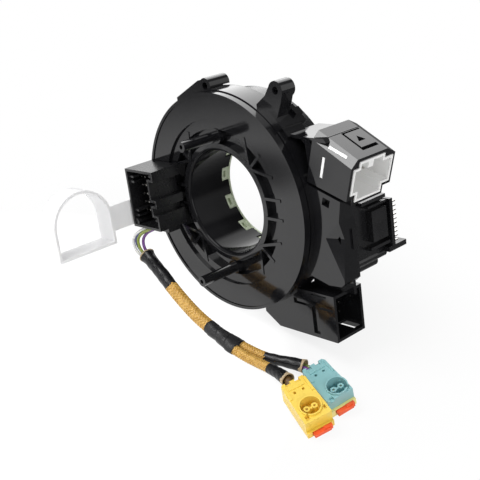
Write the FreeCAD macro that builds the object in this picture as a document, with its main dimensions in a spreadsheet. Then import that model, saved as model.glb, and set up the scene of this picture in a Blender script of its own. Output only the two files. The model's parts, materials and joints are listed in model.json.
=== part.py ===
import FreeCAD, Part
import math
import os
import Sketcher

# Steering clock spring, in millimetres. The bore runs along Y with the rotor's face towards -Y.
# Sub-parts are laid out square to the sockets and then turned by stand_angle about the bore,
# which is how the object stands on its rim. The row frame has +Z up and its origin on the bore.

os.makedirs("parts", exist_ok=True)
doc = FreeCAD.newDocument("ClockSpring")
sheet = doc.addObject("Spreadsheet::Sheet", "dims")

SIZES = {
    # how the object stands, and how the big socket is turned in the housing
    "stand_angle": 17.5,
    "origin_depth": 4.0,
    "socket_tilt": 17.5,
    "run_gap": 0.3,
    # rotor disc and hub
    "disc_radius": 52.0,
    "disc_thick": 3.0,
    "lip_width": 1.3,
    "lip_height": 0.5,
    "recess_radius": 39.8,
    "recess_depth": 1.2,
    "seat_radius": 38.4,
    "seat_back": 5.5,
    "bore_radius": 24.8,
    "bore_round": 1.5,
    "hub_wall": 2.5,
    "hub_end": 26.5,
    "groove_inner": 28.3,
    "groove_outer": 35.0,
    "groove_depth": 2.8,
    "rib_start": 27.4,
    "rib_end": 37.6,
    "rib_width": 1.3,
    "rib_proud": 0.35,
    "rib_pair_pitch": 9.0,
    "pin_circle": 31.8,
    "pin_radius": 2.4,
    "pin_reach": 19.5,
    "pin_hole": 1.0,
    "window_width": 7.4,
    "window_front": 22.2,
    # rotor connector on the left of the disc
    "con_left": -49.5,
    "con_right": -28.3,
    "con_low": -12.8,
    "con_top": 16.6,
    "con_front": -17.0,
    "con_back": -0.6,
    "con_wall": 1.2,
    "con_floor": 2.0,
    "con_step": 3.6,
    "con_foot": 8.0,
    "guide_front": -8.0,
    "guide_wall": 1.2,
    # lock tab
    "tab_thick": 1.3,
    "tab_near": -46.0,
    "tab_width": 12.0,
    "tab_height": 12.6,
    "tab_top": 0.4,
    "loop_back": -30.8,
    "loop_radius": 16.1,
    "loop_leg": 14.5,
    "loop_centre": -2.3,
    # drive ring on the hub's end
    "ring_radius": 30.6,
    "ring_lip": 1.2,
    "tab_slot": 3.4,
    "tooth_module": 0.8,
    "ring_teeth": 80,
    "gear_a_teeth": 17,
    "gear_b_teeth": 18,
    "tooth_slack": 0.30,
    "gear_thick": 3.4,
    "gear_pin": 1.5,
    "magnet_radius": 2.6,
    "magnet_thick": 1.0,
    # wound ribbon
    "ribbon_thick": 0.35,
    "ribbon_pitch": 2.4,
    "ribbon_inner": 30.0,
    "ribbon_turns": 7,
    "ribbon_side_gap": 0.5,
    # stator drum
    "drum_radius": 52.5,
    "drum_wall": 1.8,
    "drum_back": 14.0,
    "cover_thick": 1.6,
    # arm at the right of the drum
    "arm_front": 5.0,
    "arm_wall": 1.6,
    "arm_top": 34.0,
    "arm_right": 66.6,
    "arm_bottom": -28.8,
    "arm_back": 15.2,
    # shroud of the big white socket, square to the tilted socket
    "shroud_start": 44.0,
    "shroud_mouth": 66.0,
    "shroud_low": 26.5,
    "shroud_top": 47.8,
    "shroud_rise": 4.4,
    "shroud_back": 33.0,
    "roof_back": 27.0,
    "roof_thick": 1.8,
    "insert_gap": 0.25,
    "insert_wall": 1.1,
    "insert_proud": 0.3,
    "insert_floor": 47.0,
    "insert_front": 6.7,
    "insert_back": 31.5,
    "insert_low": 27.9,
    "insert_top": 46.2,
    # lower socket
    "low_left": 33.0,
    "low_mouth": 58.5,
    "low_top": -36.8,
    "low_bottom": -58.8,
    "low_front": 5.5,
    "low_back": 24.0,
    "low_wall": 1.4,
    # ears
    "ear_thick": 8.0,
    "ear_radius": 3.6,
    "ear_hole": 1.7,
    # sensor case and its header
    "case_radius": 49.0,
    "case_wall": 1.4,
    "case_back": 27.0,
    "case_cover": 1.4,
    "head_right": 63.0,
    "head_panel": 66.5,
    "head_top": 2.6,
    "head_low": -27.0,
    "head_back": 40.0,
    "board_front": 22.6,
    "board_thick": 1.4,
    # contact pins
    "blade": 0.64,
    "head_pin": 0.3,
    # screws
    "screw_shank": 1.1,
    "screw_head": 2.4,
    "screw_head_high": 1.6,
    # harness, lying on the surface that the rim stands on
    "floor_z": -52.5,
    "wire_radius": 0.75,
    "trunk_radius": 3.2,
    "sleeve_wall": 0.7,
    "branch_radius": 2.3,
    "branch_sleeve": 3.0,
    # airbag plugs
    "plug_length": 23.0,
    "plug_width": 11.4,
    "plug_height": 8.8,
    "shell_height": 3.4,
    "shell_lip": 0.5,
    "well_radius": 4.3,
    "well_depth": 4.6,
    "well_place": 15.4,
    "tube_radius": 1.35,
    "tube_bore": 0.55,
    "tube_pitch": 3.6,
    "lock_width": 7.6,
    "lock_thick": 1.8,
    "lock_length": 7.4,
    "lock_out": 1.9,
}

for row, (alias, number) in enumerate(SIZES.items(), start=1):
    sheet.set("A%d" % row, alias)
    sheet.set("B%d" % row, str(number))
    sheet.setAlias("B%d" % row, alias)
doc.recompute()


def size(alias):
    return float(sheet.get(alias))


def bind(obj, **expressions):
    """Ties properties of an object to the sheet; a double underscore stands for a dot."""
    for name, text in expressions.items():
        obj.setExpression(name.replace("__", "."), text)
    return obj


def box(name, x, y, z, length, width, height):
    """A block from the corner x, y, z; every argument is an expression."""
    obj = doc.addObject("Part::Box", name)
    return bind(obj, Length=length, Width=width, Height=height,
                Placement__Base__x=x, Placement__Base__y=y, Placement__Base__z=z)


def span(name, x, y, z):
    """A block between pairs of expressions, one pair for each axis."""
    return box(name, x[0], y[0], z[0], "(%s) - (%s)" % (x[1], x[0]),
               "(%s) - (%s)" % (y[1], y[0]), "(%s) - (%s)" % (z[1], z[0]))


def drum(name, radius, front, back, x="0", z="0"):
    """A round bar along Y."""
    obj = doc.addObject("Part::Cylinder", name)
    obj.Placement.Rotation = FreeCAD.Rotation(FreeCAD.Vector(1, 0, 0), -90)
    return bind(obj, Radius=radius, Height="(%s) - (%s)" % (back, front),
                Placement__Base__x=x, Placement__Base__y=front, Placement__Base__z=z)


def drum_x(name, radius, left, right, y, z):
    """A round bar along X."""
    obj = doc.addObject("Part::Cylinder", name)
    obj.Placement.Rotation = FreeCAD.Rotation(FreeCAD.Vector(0, 1, 0), 90)
    return bind(obj, Radius=radius, Height="(%s) - (%s)" % (right, left),
                Placement__Base__x=left, Placement__Base__y=y, Placement__Base__z=z)


def beam(name, x, z, length, width, front, back, angle):
    """A bar in the face plane that starts at x, z and runs at an angle in degrees from +X."""
    obj = doc.addObject("Part::Box", name)
    along = math.cos(math.radians(angle))
    across = math.sin(math.radians(angle))
    obj.Placement.Rotation = FreeCAD.Rotation(FreeCAD.Vector(0, 1, 0), -angle)
    return bind(obj, Length=length, Width="(%s) - (%s)" % (back, front), Height=width,
                Placement__Base__x="(%s) + (%s) / 2 * %.9f" % (x, width, across),
                Placement__Base__y=front,
                Placement__Base__z="(%s) - (%s) / 2 * %.9f" % (z, width, along))


def polar(radius, angle):
    """Expressions for the point at a radius and an angle in the face plane."""
    turn = math.radians(angle)
    return "(%s) * %.9f" % (radius, math.cos(turn)), "(%s) * %.9f" % (radius, math.sin(turn))


def outline(name, points):
    """A closed sketch whose corners are pinned one by one to the sheet."""
    sketch = doc.addObject("Sketcher::SketchObject", name)
    count = len(points)
    start = []
    for index in range(count):
        turn = 2 * math.pi * (index + 0.25) / count
        start.append(FreeCAD.Vector(10 * math.cos(turn), 10 * math.sin(turn), 0))
    for index in range(count):
        sketch.addGeometry(Part.LineSegment(start[index], start[(index + 1) % count]), False)
    for index in range(count):
        sketch.addConstraint(Sketcher.Constraint("Coincident", index, 2, (index + 1) % count, 1))
    for index, point in enumerate(points):
        for kind, text, value in (("DistanceX", point[0], start[index].x),
                                  ("DistanceY", point[1], start[index].y)):
            place = sketch.addConstraint(Sketcher.Constraint(kind, index, 1, value))
            sketch.setExpression("Constraints[%d]" % place, text)
    return sketch


def plate(name, points, front, back):
    """An outline in the face plane, given as X, Z expressions, carried along Y."""
    sketch = outline(name + "_outline", points)
    sketch.Placement.Rotation = FreeCAD.Rotation(FreeCAD.Vector(1, 0, 0), 90)
    bind(sketch, Placement__Base__y=front)
    solid = doc.addObject("Part::Extrusion", name)
    solid.Base = sketch
    solid.DirMode = "Custom"
    solid.Dir = FreeCAD.Vector(0, 1, 0)
    solid.Solid = True
    return bind(solid, LengthFwd="(%s) - (%s)" % (back, front))


def profile(name, points, left, right):
    """An outline given as Y, Z expressions, carried along X."""
    sketch = outline(name + "_outline", points)
    sketch.Placement.Rotation = FreeCAD.Rotation(FreeCAD.Vector(1, 1, 1), 120)
    bind(sketch, Placement__Base__x=left)
    solid = doc.addObject("Part::Extrusion", name)
    solid.Base = sketch
    solid.DirMode = "Custom"
    solid.Dir = FreeCAD.Vector(1, 0, 0)
    solid.Solid = True
    return bind(solid, LengthFwd="(%s) - (%s)" % (right, left))


def bar(name, points, low, high):
    """An outline given as X, Y expressions, carried along Z."""
    sketch = outline(name + "_outline", points)
    bind(sketch, Placement__Base__z=low)
    solid = doc.addObject("Part::Extrusion", name)
    solid.Base = sketch
    solid.DirMode = "Custom"
    solid.Dir = FreeCAD.Vector(0, 0, 1)
    solid.Solid = True
    return bind(solid, LengthFwd="(%s) - (%s)" % (high, low))


def taper(name, near, far, front, back, across=False):
    """A straight-sided solid between two outlines with as many corners, carried along Y, or along X if across."""
    ends = []
    for side, points, place in (("near", near, front), ("far", far, back)):
        sketch = outline("%s_%s" % (name, side), points)
        if across:
            sketch.Placement.Rotation = FreeCAD.Rotation(FreeCAD.Vector(1, 1, 1), 120)
            bind(sketch, Placement__Base__x=place)
        else:
            sketch.Placement.Rotation = FreeCAD.Rotation(FreeCAD.Vector(1, 0, 0), 90)
            bind(sketch, Placement__Base__y=place)
        ends.append(sketch)
    obj = doc.addObject("Part::Loft", name)
    obj.Sections = ends
    obj.Solid = True
    obj.Ruled = True
    return obj


def cut(name, base, tool):
    obj = doc.addObject("Part::Cut", name)
    obj.Base = base
    obj.Tool = tool
    return obj


def fuse(name, pieces):
    obj = doc.addObject("Part::MultiFuse", name)
    obj.Shapes = pieces
    obj.Refine = True
    return obj


def group(name, pieces):
    """Separate solids that share one node."""
    obj = doc.addObject("Part::Compound", name)
    obj.Links = pieces
    return obj


def tilt(piece):
    """Turns a piece of the big socket from its own square frame into the housing's."""
    obj = group(piece.Name + "_tilted", [piece])
    obj.Placement = FreeCAD.Placement(FreeCAD.Vector(0, 0, 0), FreeCAD.Rotation(FreeCAD.Vector(0, 1, 0), 0))
    return bind(obj, Placement__Rotation__Angle="dims.socket_tilt")


NODES = []


def stand(obj, label):
    """Stands a finished sub-part on the rim and names it."""
    obj.Placement = FreeCAD.Placement(FreeCAD.Vector(0, 0, 0), FreeCAD.Rotation(FreeCAD.Vector(0, 1, 0), 0))
    bind(obj, Placement__Rotation__Angle="-dims.stand_angle", Placement__Base__y="-dims.origin_depth")
    obj.Label = label
    NODES.append(obj)
    return obj


HUB = "(dims.bore_radius + dims.hub_wall)"
FACE = "dims.recess_depth"


def make_rotor():
    """Disc, hub, floor pocket with its ribs, and the two pins."""
    body = doc.addObject("PartDesign::Body", "rotor_turned")
    planes = {feature.Role: feature for feature in body.Origin.OriginFeatures}
    section = [
        ("dims.bore_radius", FACE),
        ("dims.recess_radius", FACE),
        ("dims.recess_radius", "0.0"),
        ("dims.disc_radius - dims.lip_width", "0.0"),
        ("dims.disc_radius - dims.lip_width", "-dims.lip_height"),
        ("dims.disc_radius", "-dims.lip_height"),
        ("dims.disc_radius", "dims.disc_thick"),
        ("dims.seat_radius", "dims.disc_thick"),
        ("dims.seat_radius", "dims.seat_back"),
        (HUB, "dims.seat_back"),
        (HUB, "dims.hub_end"),
        ("dims.bore_radius", "dims.hub_end"),
    ]
    sketch = body.newObject("Sketcher::SketchObject", "rotor_section")
    sketch.AttachmentSupport = [(planes["XY_Plane"], "")]
    sketch.MapMode = "FlatFace"
    count = len(section)
    start = []
    for index in range(count):
        turn = -2 * math.pi * (index + 0.25) / count
        start.append(FreeCAD.Vector(35 + 8 * math.cos(turn), 10 + 8 * math.sin(turn), 0))
    for index in range(count):
        sketch.addGeometry(Part.LineSegment(start[index], start[(index + 1) % count]), False)
    for index in range(count):
        sketch.addConstraint(Sketcher.Constraint("Coincident", index, 2, (index + 1) % count, 1))
    for index, point in enumerate(section):
        for kind, text, value in (("DistanceX", point[0], start[index].x),
                                  ("DistanceY", point[1], start[index].y)):
            place = sketch.addConstraint(Sketcher.Constraint(kind, index, 1, value))
            sketch.setExpression("Constraints[%d]" % place, text)
    turned = body.newObject("PartDesign::Revolution", "rotor_revolve")
    turned.Profile = sketch
    turned.ReferenceAxis = (planes["Y_Axis"], [""])
    turned.Angle = 360
    doc.recompute()
    for number, edge in enumerate(turned.Shape.Edges, start=1):
        curve = edge.Curve
        if isinstance(curve, Part.Circle) and abs(curve.Radius - size("bore_radius")) < 1e-4:
            if abs(curve.Center.y - size("recess_depth")) < 1e-4:
                mouth = "Edge%d" % number
    rounded = body.newObject("PartDesign::Fillet", "bore_mouth")
    rounded.Base = (turned, [mouth])
    bind(rounded, Radius="dims.bore_round")
    body.Tip = rounded

    pocket_back = FACE + " + dims.groove_depth"
    pocket = cut("pocket", drum("pocket_outer", "dims.groove_outer", FACE + " - 1", pocket_back),
                 drum("pocket_inner", "dims.groove_inner", FACE + " - 2", pocket_back + " + 1"))
    windows = []
    for index in range(11):
        angle = 201 + index * 360 / 11
        x, z = polar("dims.bore_radius - 1", angle)
        windows.append(beam("hub_window_%d" % index, x, z, "dims.hub_wall + 2", "dims.window_width",
                            "dims.window_front", "dims.hub_end + 1", angle))
    hollow = cut("rotor_hollow", body, fuse("rotor_cuts", [pocket] + windows))

    added = []
    rib_front = FACE + " - dims.rib_proud"
    rib_long = "(dims.rib_end - dims.rib_start)"
    for index, (angle, fan) in enumerate(((42, 17.5), (138, 17.5), (222, 17.5), (320, 17.5))):
        x, z = polar("dims.rib_start", angle)
        for side in (-1, 0, 1):
            far_x, far_z = polar("dims.rib_end", angle + side * fan)
            near = math.radians(angle)
            far = math.radians(angle + side * fan)
            run_x = size("rib_end") * math.cos(far) - size("rib_start") * math.cos(near)
            run_z = size("rib_end") * math.sin(far) - size("rib_start") * math.sin(near)
            heading = math.degrees(math.atan2(run_z, run_x))
            reach = math.hypot(run_x, run_z) / (size("rib_end") - size("rib_start"))
            added.append(beam("rib_%d_%d" % (index, side + 1), x, z, "%s * %.6f" % (rib_long, reach),
                              "dims.rib_width", rib_front, pocket_back + " + 0.2", heading))
    for side, angle in (("right", 0), ("left", 180)):
        for step in (-0.5, 0.5):
            x, z = polar("dims.rib_start", angle)
            added.append(beam("rib_%s_%d" % (side, step + 1), x, "1 + %s * dims.rib_pair_pitch" % step,
                              rib_long, "dims.rib_width", rib_front, pocket_back + " + 0.2", angle))
    holes = []
    for name, sign in (("top", ""), ("low", "-")):
        z = sign + "dims.pin_circle"
        added.append(drum("pin_" + name, "dims.pin_radius", "-dims.pin_reach", pocket_back + " + 0.2",
                          "0.7", z))
        holes.append(drum("pin_hole_" + name, "dims.pin_hole", "-dims.pin_reach - 1",
                          "-dims.pin_reach + 3", "0.7", z))
        added.append(drum("pin_foot_" + name, "dims.pin_radius + 1.1", FACE + " - 0.6",
                          pocket_back + " + 0.2", "0.7", z))
    holes.append(drum("wire_exit", "1.4", "-1", "dims.disc_thick + 1", "-44", "-16"))
    whole = fuse("rotor_whole", [hollow] + added)
    stand(cut("rotor", whole, fuse("rotor_holes", holes)), "rotor")


def connector_outline(inset):
    """Outline of the rotor's connector, with the two notches of its right wall."""
    left = "dims.con_left + %s" % inset
    right = "dims.con_right - %s" % inset
    step = "dims.con_right - dims.con_step - %s" % inset
    low = "dims.con_low + %s" % inset
    top = "dims.con_top - %s" % inset
    return [
        (left, low),
        (right, low),
        (right, "-5 - %s" % inset),
        (step, "-5 - %s" % inset),
        (step, "-1.5 + %s" % inset),
        (right, "-1.5 + %s" % inset),
        (right, "2.6 - %s" % inset),
        (step, "2.6 - %s" % inset),
        (step, "11.5 + %s" % inset),
        (right, "11.5 + %s" % inset),
        (right, top),
        (left, top),
    ]


STRAP = ("dims.con_left - 1.0 - dims.run_gap - dims.tab_thick", "dims.con_left - 1.0 - dims.run_gap")
STRAP_Z = ("dims.tab_top - dims.tab_height", "dims.tab_top")


def make_rotor_connector():
    floor_front = "dims.con_back - dims.con_floor"
    shell = cut("con_shell", plate("con_outer", connector_outline("0.0"), "dims.con_front", "dims.con_back"),
                plate("con_inner", connector_outline("dims.con_wall"), "dims.con_front - 1", floor_front))
    pieces = [shell]
    seat_front = "dims.con_back - 0.4"
    pieces.append(span("con_seat", ("dims.con_left + 3", "dims.con_right - 5"), (seat_front, "0.0"),
                       ("dims.con_low + 1.4", "dims.con_top - 2.2")))
    for index, height in enumerate((12.5, 10, -4.5, -7)):
        pieces.append(span("con_ledge_left_%d" % index, ("dims.con_left + 0.6", "dims.con_left + 4.6"),
                           ("dims.con_front + 1", floor_front + " + 0.5"), ("%s - 0.5" % height, "%s + 0.5" % height)))
    for index, height in enumerate((14, -8)):
        pieces.append(span("con_ledge_right_%d" % index, ("dims.con_right - 4.2", "dims.con_right - 0.6"),
                           ("dims.con_front + 1", floor_front + " + 0.5"), ("%s - 0.5" % height, "%s + 0.5" % height)))
    pieces.append(drum("con_boss", "1.5", "dims.con_front + 0.6", floor_front + " + 0.5",
                       "dims.con_left + 2.2", "dims.con_low + 2.4"))
    pieces.append(span("con_foot", ("dims.con_right - dims.con_foot", "dims.con_right - 1.6"),
                       ("dims.con_front + 6", "dims.con_back - 3"), ("dims.con_low - 2.6", "dims.con_low + 0.6")))
    guide = span("guide_block", (STRAP[0] + " - dims.run_gap - dims.guide_wall", "dims.con_left + 0.6"),
                 ("dims.guide_front", "dims.con_back"),
                 (STRAP_Z[0] + " - dims.run_gap - dims.guide_wall", STRAP_Z[1] + " + dims.run_gap + dims.guide_wall"))
    pieces.append(guide)
    pieces.append(span("guide_hook", (STRAP[0] + " - dims.run_gap - dims.guide_wall", STRAP[0] + " - dims.run_gap"),
                       ("dims.guide_front - 3", "dims.guide_front + 0.5"),
                       (STRAP_Z[1] + " - 3", STRAP_Z[1] + " + dims.run_gap + dims.guide_wall")))
    slot = span("guide_slot", (STRAP[0] + " - dims.run_gap", STRAP[1] + " + dims.run_gap"),
                ("dims.guide_front - 1", "dims.con_back - 1.0"),
                (STRAP_Z[0] + " - dims.run_gap", STRAP_Z[1] + " + dims.run_gap"))
    exits = [slot]
    for index in range(4):
        exits.append(drum("wire_way_%d" % index, "dims.wire_radius + 0.05", "0.0", "6.0"))
        turned = FreeCAD.Rotation(FreeCAD.Vector(1, 0, 0), 180)
        exits[-1].Placement.Rotation = turned
        bind(exits[-1], Placement__Base__x="-41.5 + 2.0 * %d" % index, Placement__Base__y=("-14.7", "-13.1", "-15.2", "-13.1")[index],
             Placement__Base__z="dims.con_low + 3.0")
    stand(cut("rotor_connector", fuse("con_whole", pieces), fuse("con_cuts", exits)), "rotor_connector")


def make_rotor_terminals():
    """Ten blades that stand on the connector's floor."""
    blades = []
    for column in (-43.5, -40.9):
        for step in range(5):
            x = "%s - dims.blade / 2" % column
            z = "dims.con_low + 7.5 + 4.2 * %d" % step
            blades.append(box("rotor_blade_%d_%d" % (-column, step), x, "dims.con_front + 5", z, "dims.blade",
                              "dims.con_back - dims.con_floor - dims.con_front - 5", "dims.blade"))
    stand(group("rotor_terminals", blades), "rotor_terminals")


def make_lock_tab():
    """Pull-off tab: a D-shaped loop and the flat strap that its guide holds."""
    def loop(name, inset, left, right):
        back = "dims.loop_back - %s" % inset
        radius = "dims.loop_radius - %s" % inset
        centre = "dims.loop_back - dims.loop_radius"
        low = "dims.loop_centre - dims.loop_leg + %s" % inset
        under = span(name + "_under", (left + " - 1", right + " + 1"),
                     ("dims.loop_back - 2 * dims.loop_radius - 1", "dims.loop_back + 1"),
                     ("dims.loop_centre - dims.loop_radius - 1", "dims.loop_centre - 0.01"))
        arch = cut(name + "_half", drum_x(name + "_arch", radius, left, right, centre, "dims.loop_centre"), under)
        legs = span(name + "_legs", (left, right), ("dims.loop_back - 2 * dims.loop_radius + %s" % inset, back),
                    (low, "dims.loop_centre"))
        return fuse(name, [arch, legs])
    left = "dims.tab_near - dims.tab_width"
    band = cut("loop_band", loop("loop_outer", "0.0", left, "dims.tab_near"),
               loop("loop_inner", "dims.tab_thick", left + " - 1", "dims.tab_near + 1"))
    strap = span("tab_strap", STRAP, ("dims.loop_back - dims.tab_thick / 2", "dims.con_back - 1.0 - dims.run_gap"),
                 STRAP_Z)
    stand(fuse("lock_tab", [band, strap]), "lock_tab")


def gear_section(teeth, phase, outward=True):
    """Closed outline of an involute gear in the face plane, with thinned teeth."""
    module = size("tooth_module")
    pitch = module * teeth / 2
    flank = math.radians(20)
    base = pitch * math.cos(flank)
    tip = pitch + 0.9 * module
    root = pitch - 1.2 * module
    half = math.pi / (2 * teeth) - size("tooth_slack") / (2 * pitch)

    def spread(radius):
        if radius <= base:
            return half + math.tan(flank) - flank
        lean = math.acos(base / radius)
        return half + (math.tan(flank) - flank) - (math.tan(lean) - lean)

    rings = [root, max(base, root + 0.05), pitch, tip]
    points = []
    for tooth in range(teeth):
        middle = phase + 2 * math.pi * tooth / teeth
        for radius in rings:
            points.append((radius, middle - spread(radius)))
        for radius in reversed(rings):
            points.append((radius, middle + spread(radius)))
    return [FreeCAD.Vector(r * math.cos(a), 0, r * math.sin(a)) for r, a in points]


def gear_solid(name, teeth, phase, front, thick):
    """Toothed blank along Y, from the sheet's module and tooth count."""
    points = gear_section(teeth, phase)
    wire = Part.makePolygon(points + points[:1])
    solid = Part.Face(wire).extrude(FreeCAD.Vector(0, thick, 0))
    solid.translate(FreeCAD.Vector(0, front, 0))
    obj = doc.addObject("Part::Feature", name)
    obj.Shape = solid
    return obj


CASE_FRONT = "dims.drum_back + dims.cover_thick"
GEAR_FRONT = "(" + CASE_FRONT + " + dims.case_wall + dims.run_gap)"


def make_drive_ring():
    """Toothed ring that clips on the hub's end, with a tab through each hub window."""
    front = size("drum_back") + size("cover_thick") + size("case_wall") + size("run_gap")
    teeth = gear_solid("ring_gear", int(size("ring_teeth")), 0.0, front, size("gear_thick") + 0.4)
    sleeve = drum("ring_sleeve", "dims.ring_radius", GEAR_FRONT, "dims.hub_end + dims.ring_lip")
    bore = drum("ring_bore", HUB + " + 0.1", GEAR_FRONT + " - 1", "dims.hub_end + 0.2")
    mouth = drum("ring_mouth", "dims.bore_radius + 0.1", GEAR_FRONT, "dims.hub_end + dims.ring_lip + 1")
    tabs = []
    slots = []
    for index in range(11):
        angle = 201 + index * 360 / 11
        x, z = polar("dims.bore_radius + 0.4", angle)
        tabs.append(beam("ring_tab_%d" % index, x, z, "dims.hub_wall + 0.8", "dims.window_width - 0.6",
                         "dims.window_front + 0.3", "dims.hub_end + 0.4", angle))
        slots.append(beam("ring_slot_%d" % index, x, z, "dims.hub_wall + 0.2", "dims.tab_slot",
                          "dims.window_front + 1.4", "dims.window_front + 2.8", angle))
    open_ring = cut("ring_open", fuse("ring_blank", [teeth, sleeve]), bore)
    whole = fuse("ring_whole", [open_ring] + tabs)
    stand(cut("drive_ring", whole, fuse("ring_cuts", [mouth] + slots)), "drive_ring")


def make_flat_cable():
    """Wound ribbon in the drum, a spiral of seven turns drawn as one band."""
    turns = int(size("ribbon_turns"))
    steps = 36
    front = size("seat_back") + size("ribbon_side_gap")
    back = size("drum_back") - size("cover_thick") - 0.3
    outer = []
    inner = []
    for index in range(turns * steps + 1):
        angle = 2 * math.pi * index / steps
        radius = size("ribbon_inner") + size("ribbon_pitch") * index / steps
        outer.append(FreeCAD.Vector((radius + size("ribbon_thick")) * math.cos(angle), front,
                                    (radius + size("ribbon_thick")) * math.sin(angle)))
        inner.append(FreeCAD.Vector(radius * math.cos(angle), front, radius * math.sin(angle)))
    points = outer + inner[::-1]
    solid = Part.Face(Part.makePolygon(points + points[:1])).extrude(FreeCAD.Vector(0, back - front, 0))
    obj = doc.addObject("Part::Feature", "flat_cable")
    obj.Shape = solid
    stand(obj, "flat_cable")


def shroud_outline(inset, rise="0.0"):
    """Outside of the big socket as Y, height pairs in its own square frame."""
    front = "dims.arm_front + %s" % inset
    back = "dims.shroud_back - %s" % inset
    low = "dims.shroud_low + %s" % inset
    top = "dims.shroud_top + %s - %s" % (rise, inset)
    return [
        (front, top + " - 3.4"),
        ("dims.arm_front + 3.2", top),
        ("dims.shroud_back - 6.0", top),
        (back, top + " - 3.2"),
        (back, "dims.shroud_low + 3.8 + %s" % inset),
        ("dims.shroud_back - 4.8 - %s" % inset, "dims.shroud_low + 3.8 + %s" % inset),
        ("dims.shroud_back - 4.8 - %s" % inset, low),
        ("dims.arm_front + 3.6 + %s" % inset, low),
        ("dims.arm_front + 3.6 + %s" % inset, "dims.shroud_low + 3.0 + %s" % inset),
        (front, "dims.shroud_low + 3.0 + %s" % inset),
    ]


def shroud_block(name, inset):
    return tilt(taper(name, shroud_outline(inset, "dims.shroud_rise"), shroud_outline(inset),
                      "dims.shroud_start", "dims.shroud_mouth", across=True))


def insert_outline(inset):
    """Stepped outside of the light insert, whose four corners are notched."""
    front = "dims.insert_front + %s" % inset
    back = "dims.insert_back - %s" % inset
    low = "dims.insert_low + %s" % inset
    top = "dims.insert_top - %s" % inset
    return [
        (front, top + " - 2.7"),
        (front + " + 3.2", top + " - 2.7"),
        (front + " + 3.2", top),
        (back + " - 5.7", top),
        (back + " - 5.7", top + " - 2.2"),
        (back, top + " - 2.2"),
        (back, low + " + 3.9"),
        (back + " - 4.7", low + " + 3.9"),
        (back + " - 4.7", low),
        (front + " + 3.3", low),
        (front + " + 3.3", low + " + 3.7"),
        (front, low + " + 3.7"),
    ]


def insert_block(name, inset, left, right):
    return tilt(profile(name, insert_outline(inset), left, right))


def arm_outline(inset):
    edge = "dims.arm_right - %s" % inset
    top = "dims.arm_top - %s" % inset
    low = "dims.arm_bottom + %s" % inset
    return [
        ("38", top),
        ("54 - %s" % inset, top),
        ("57 - %s" % inset, "22"),
        ("dims.arm_right + 2.0 - %s" % inset, "8.5 - %s" % inset),
        (edge, "-1.1 - 0.4 * %s" % inset),
        (edge, low),
        ("dims.arm_right - 2.0 - 0.5 * %s" % inset, "dims.arm_bottom - 1.8 + %s" % inset),
        ("57.4", "dims.arm_bottom - 2.3 + %s" % inset),
        ("47.2", "dims.arm_bottom + 0.4 + %s" % inset),
        ("43.8", "dims.arm_bottom - 2.2 + %s" % inset),
        ("40", "dims.arm_bottom - 2.2 + %s" % inset),
    ]


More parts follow.
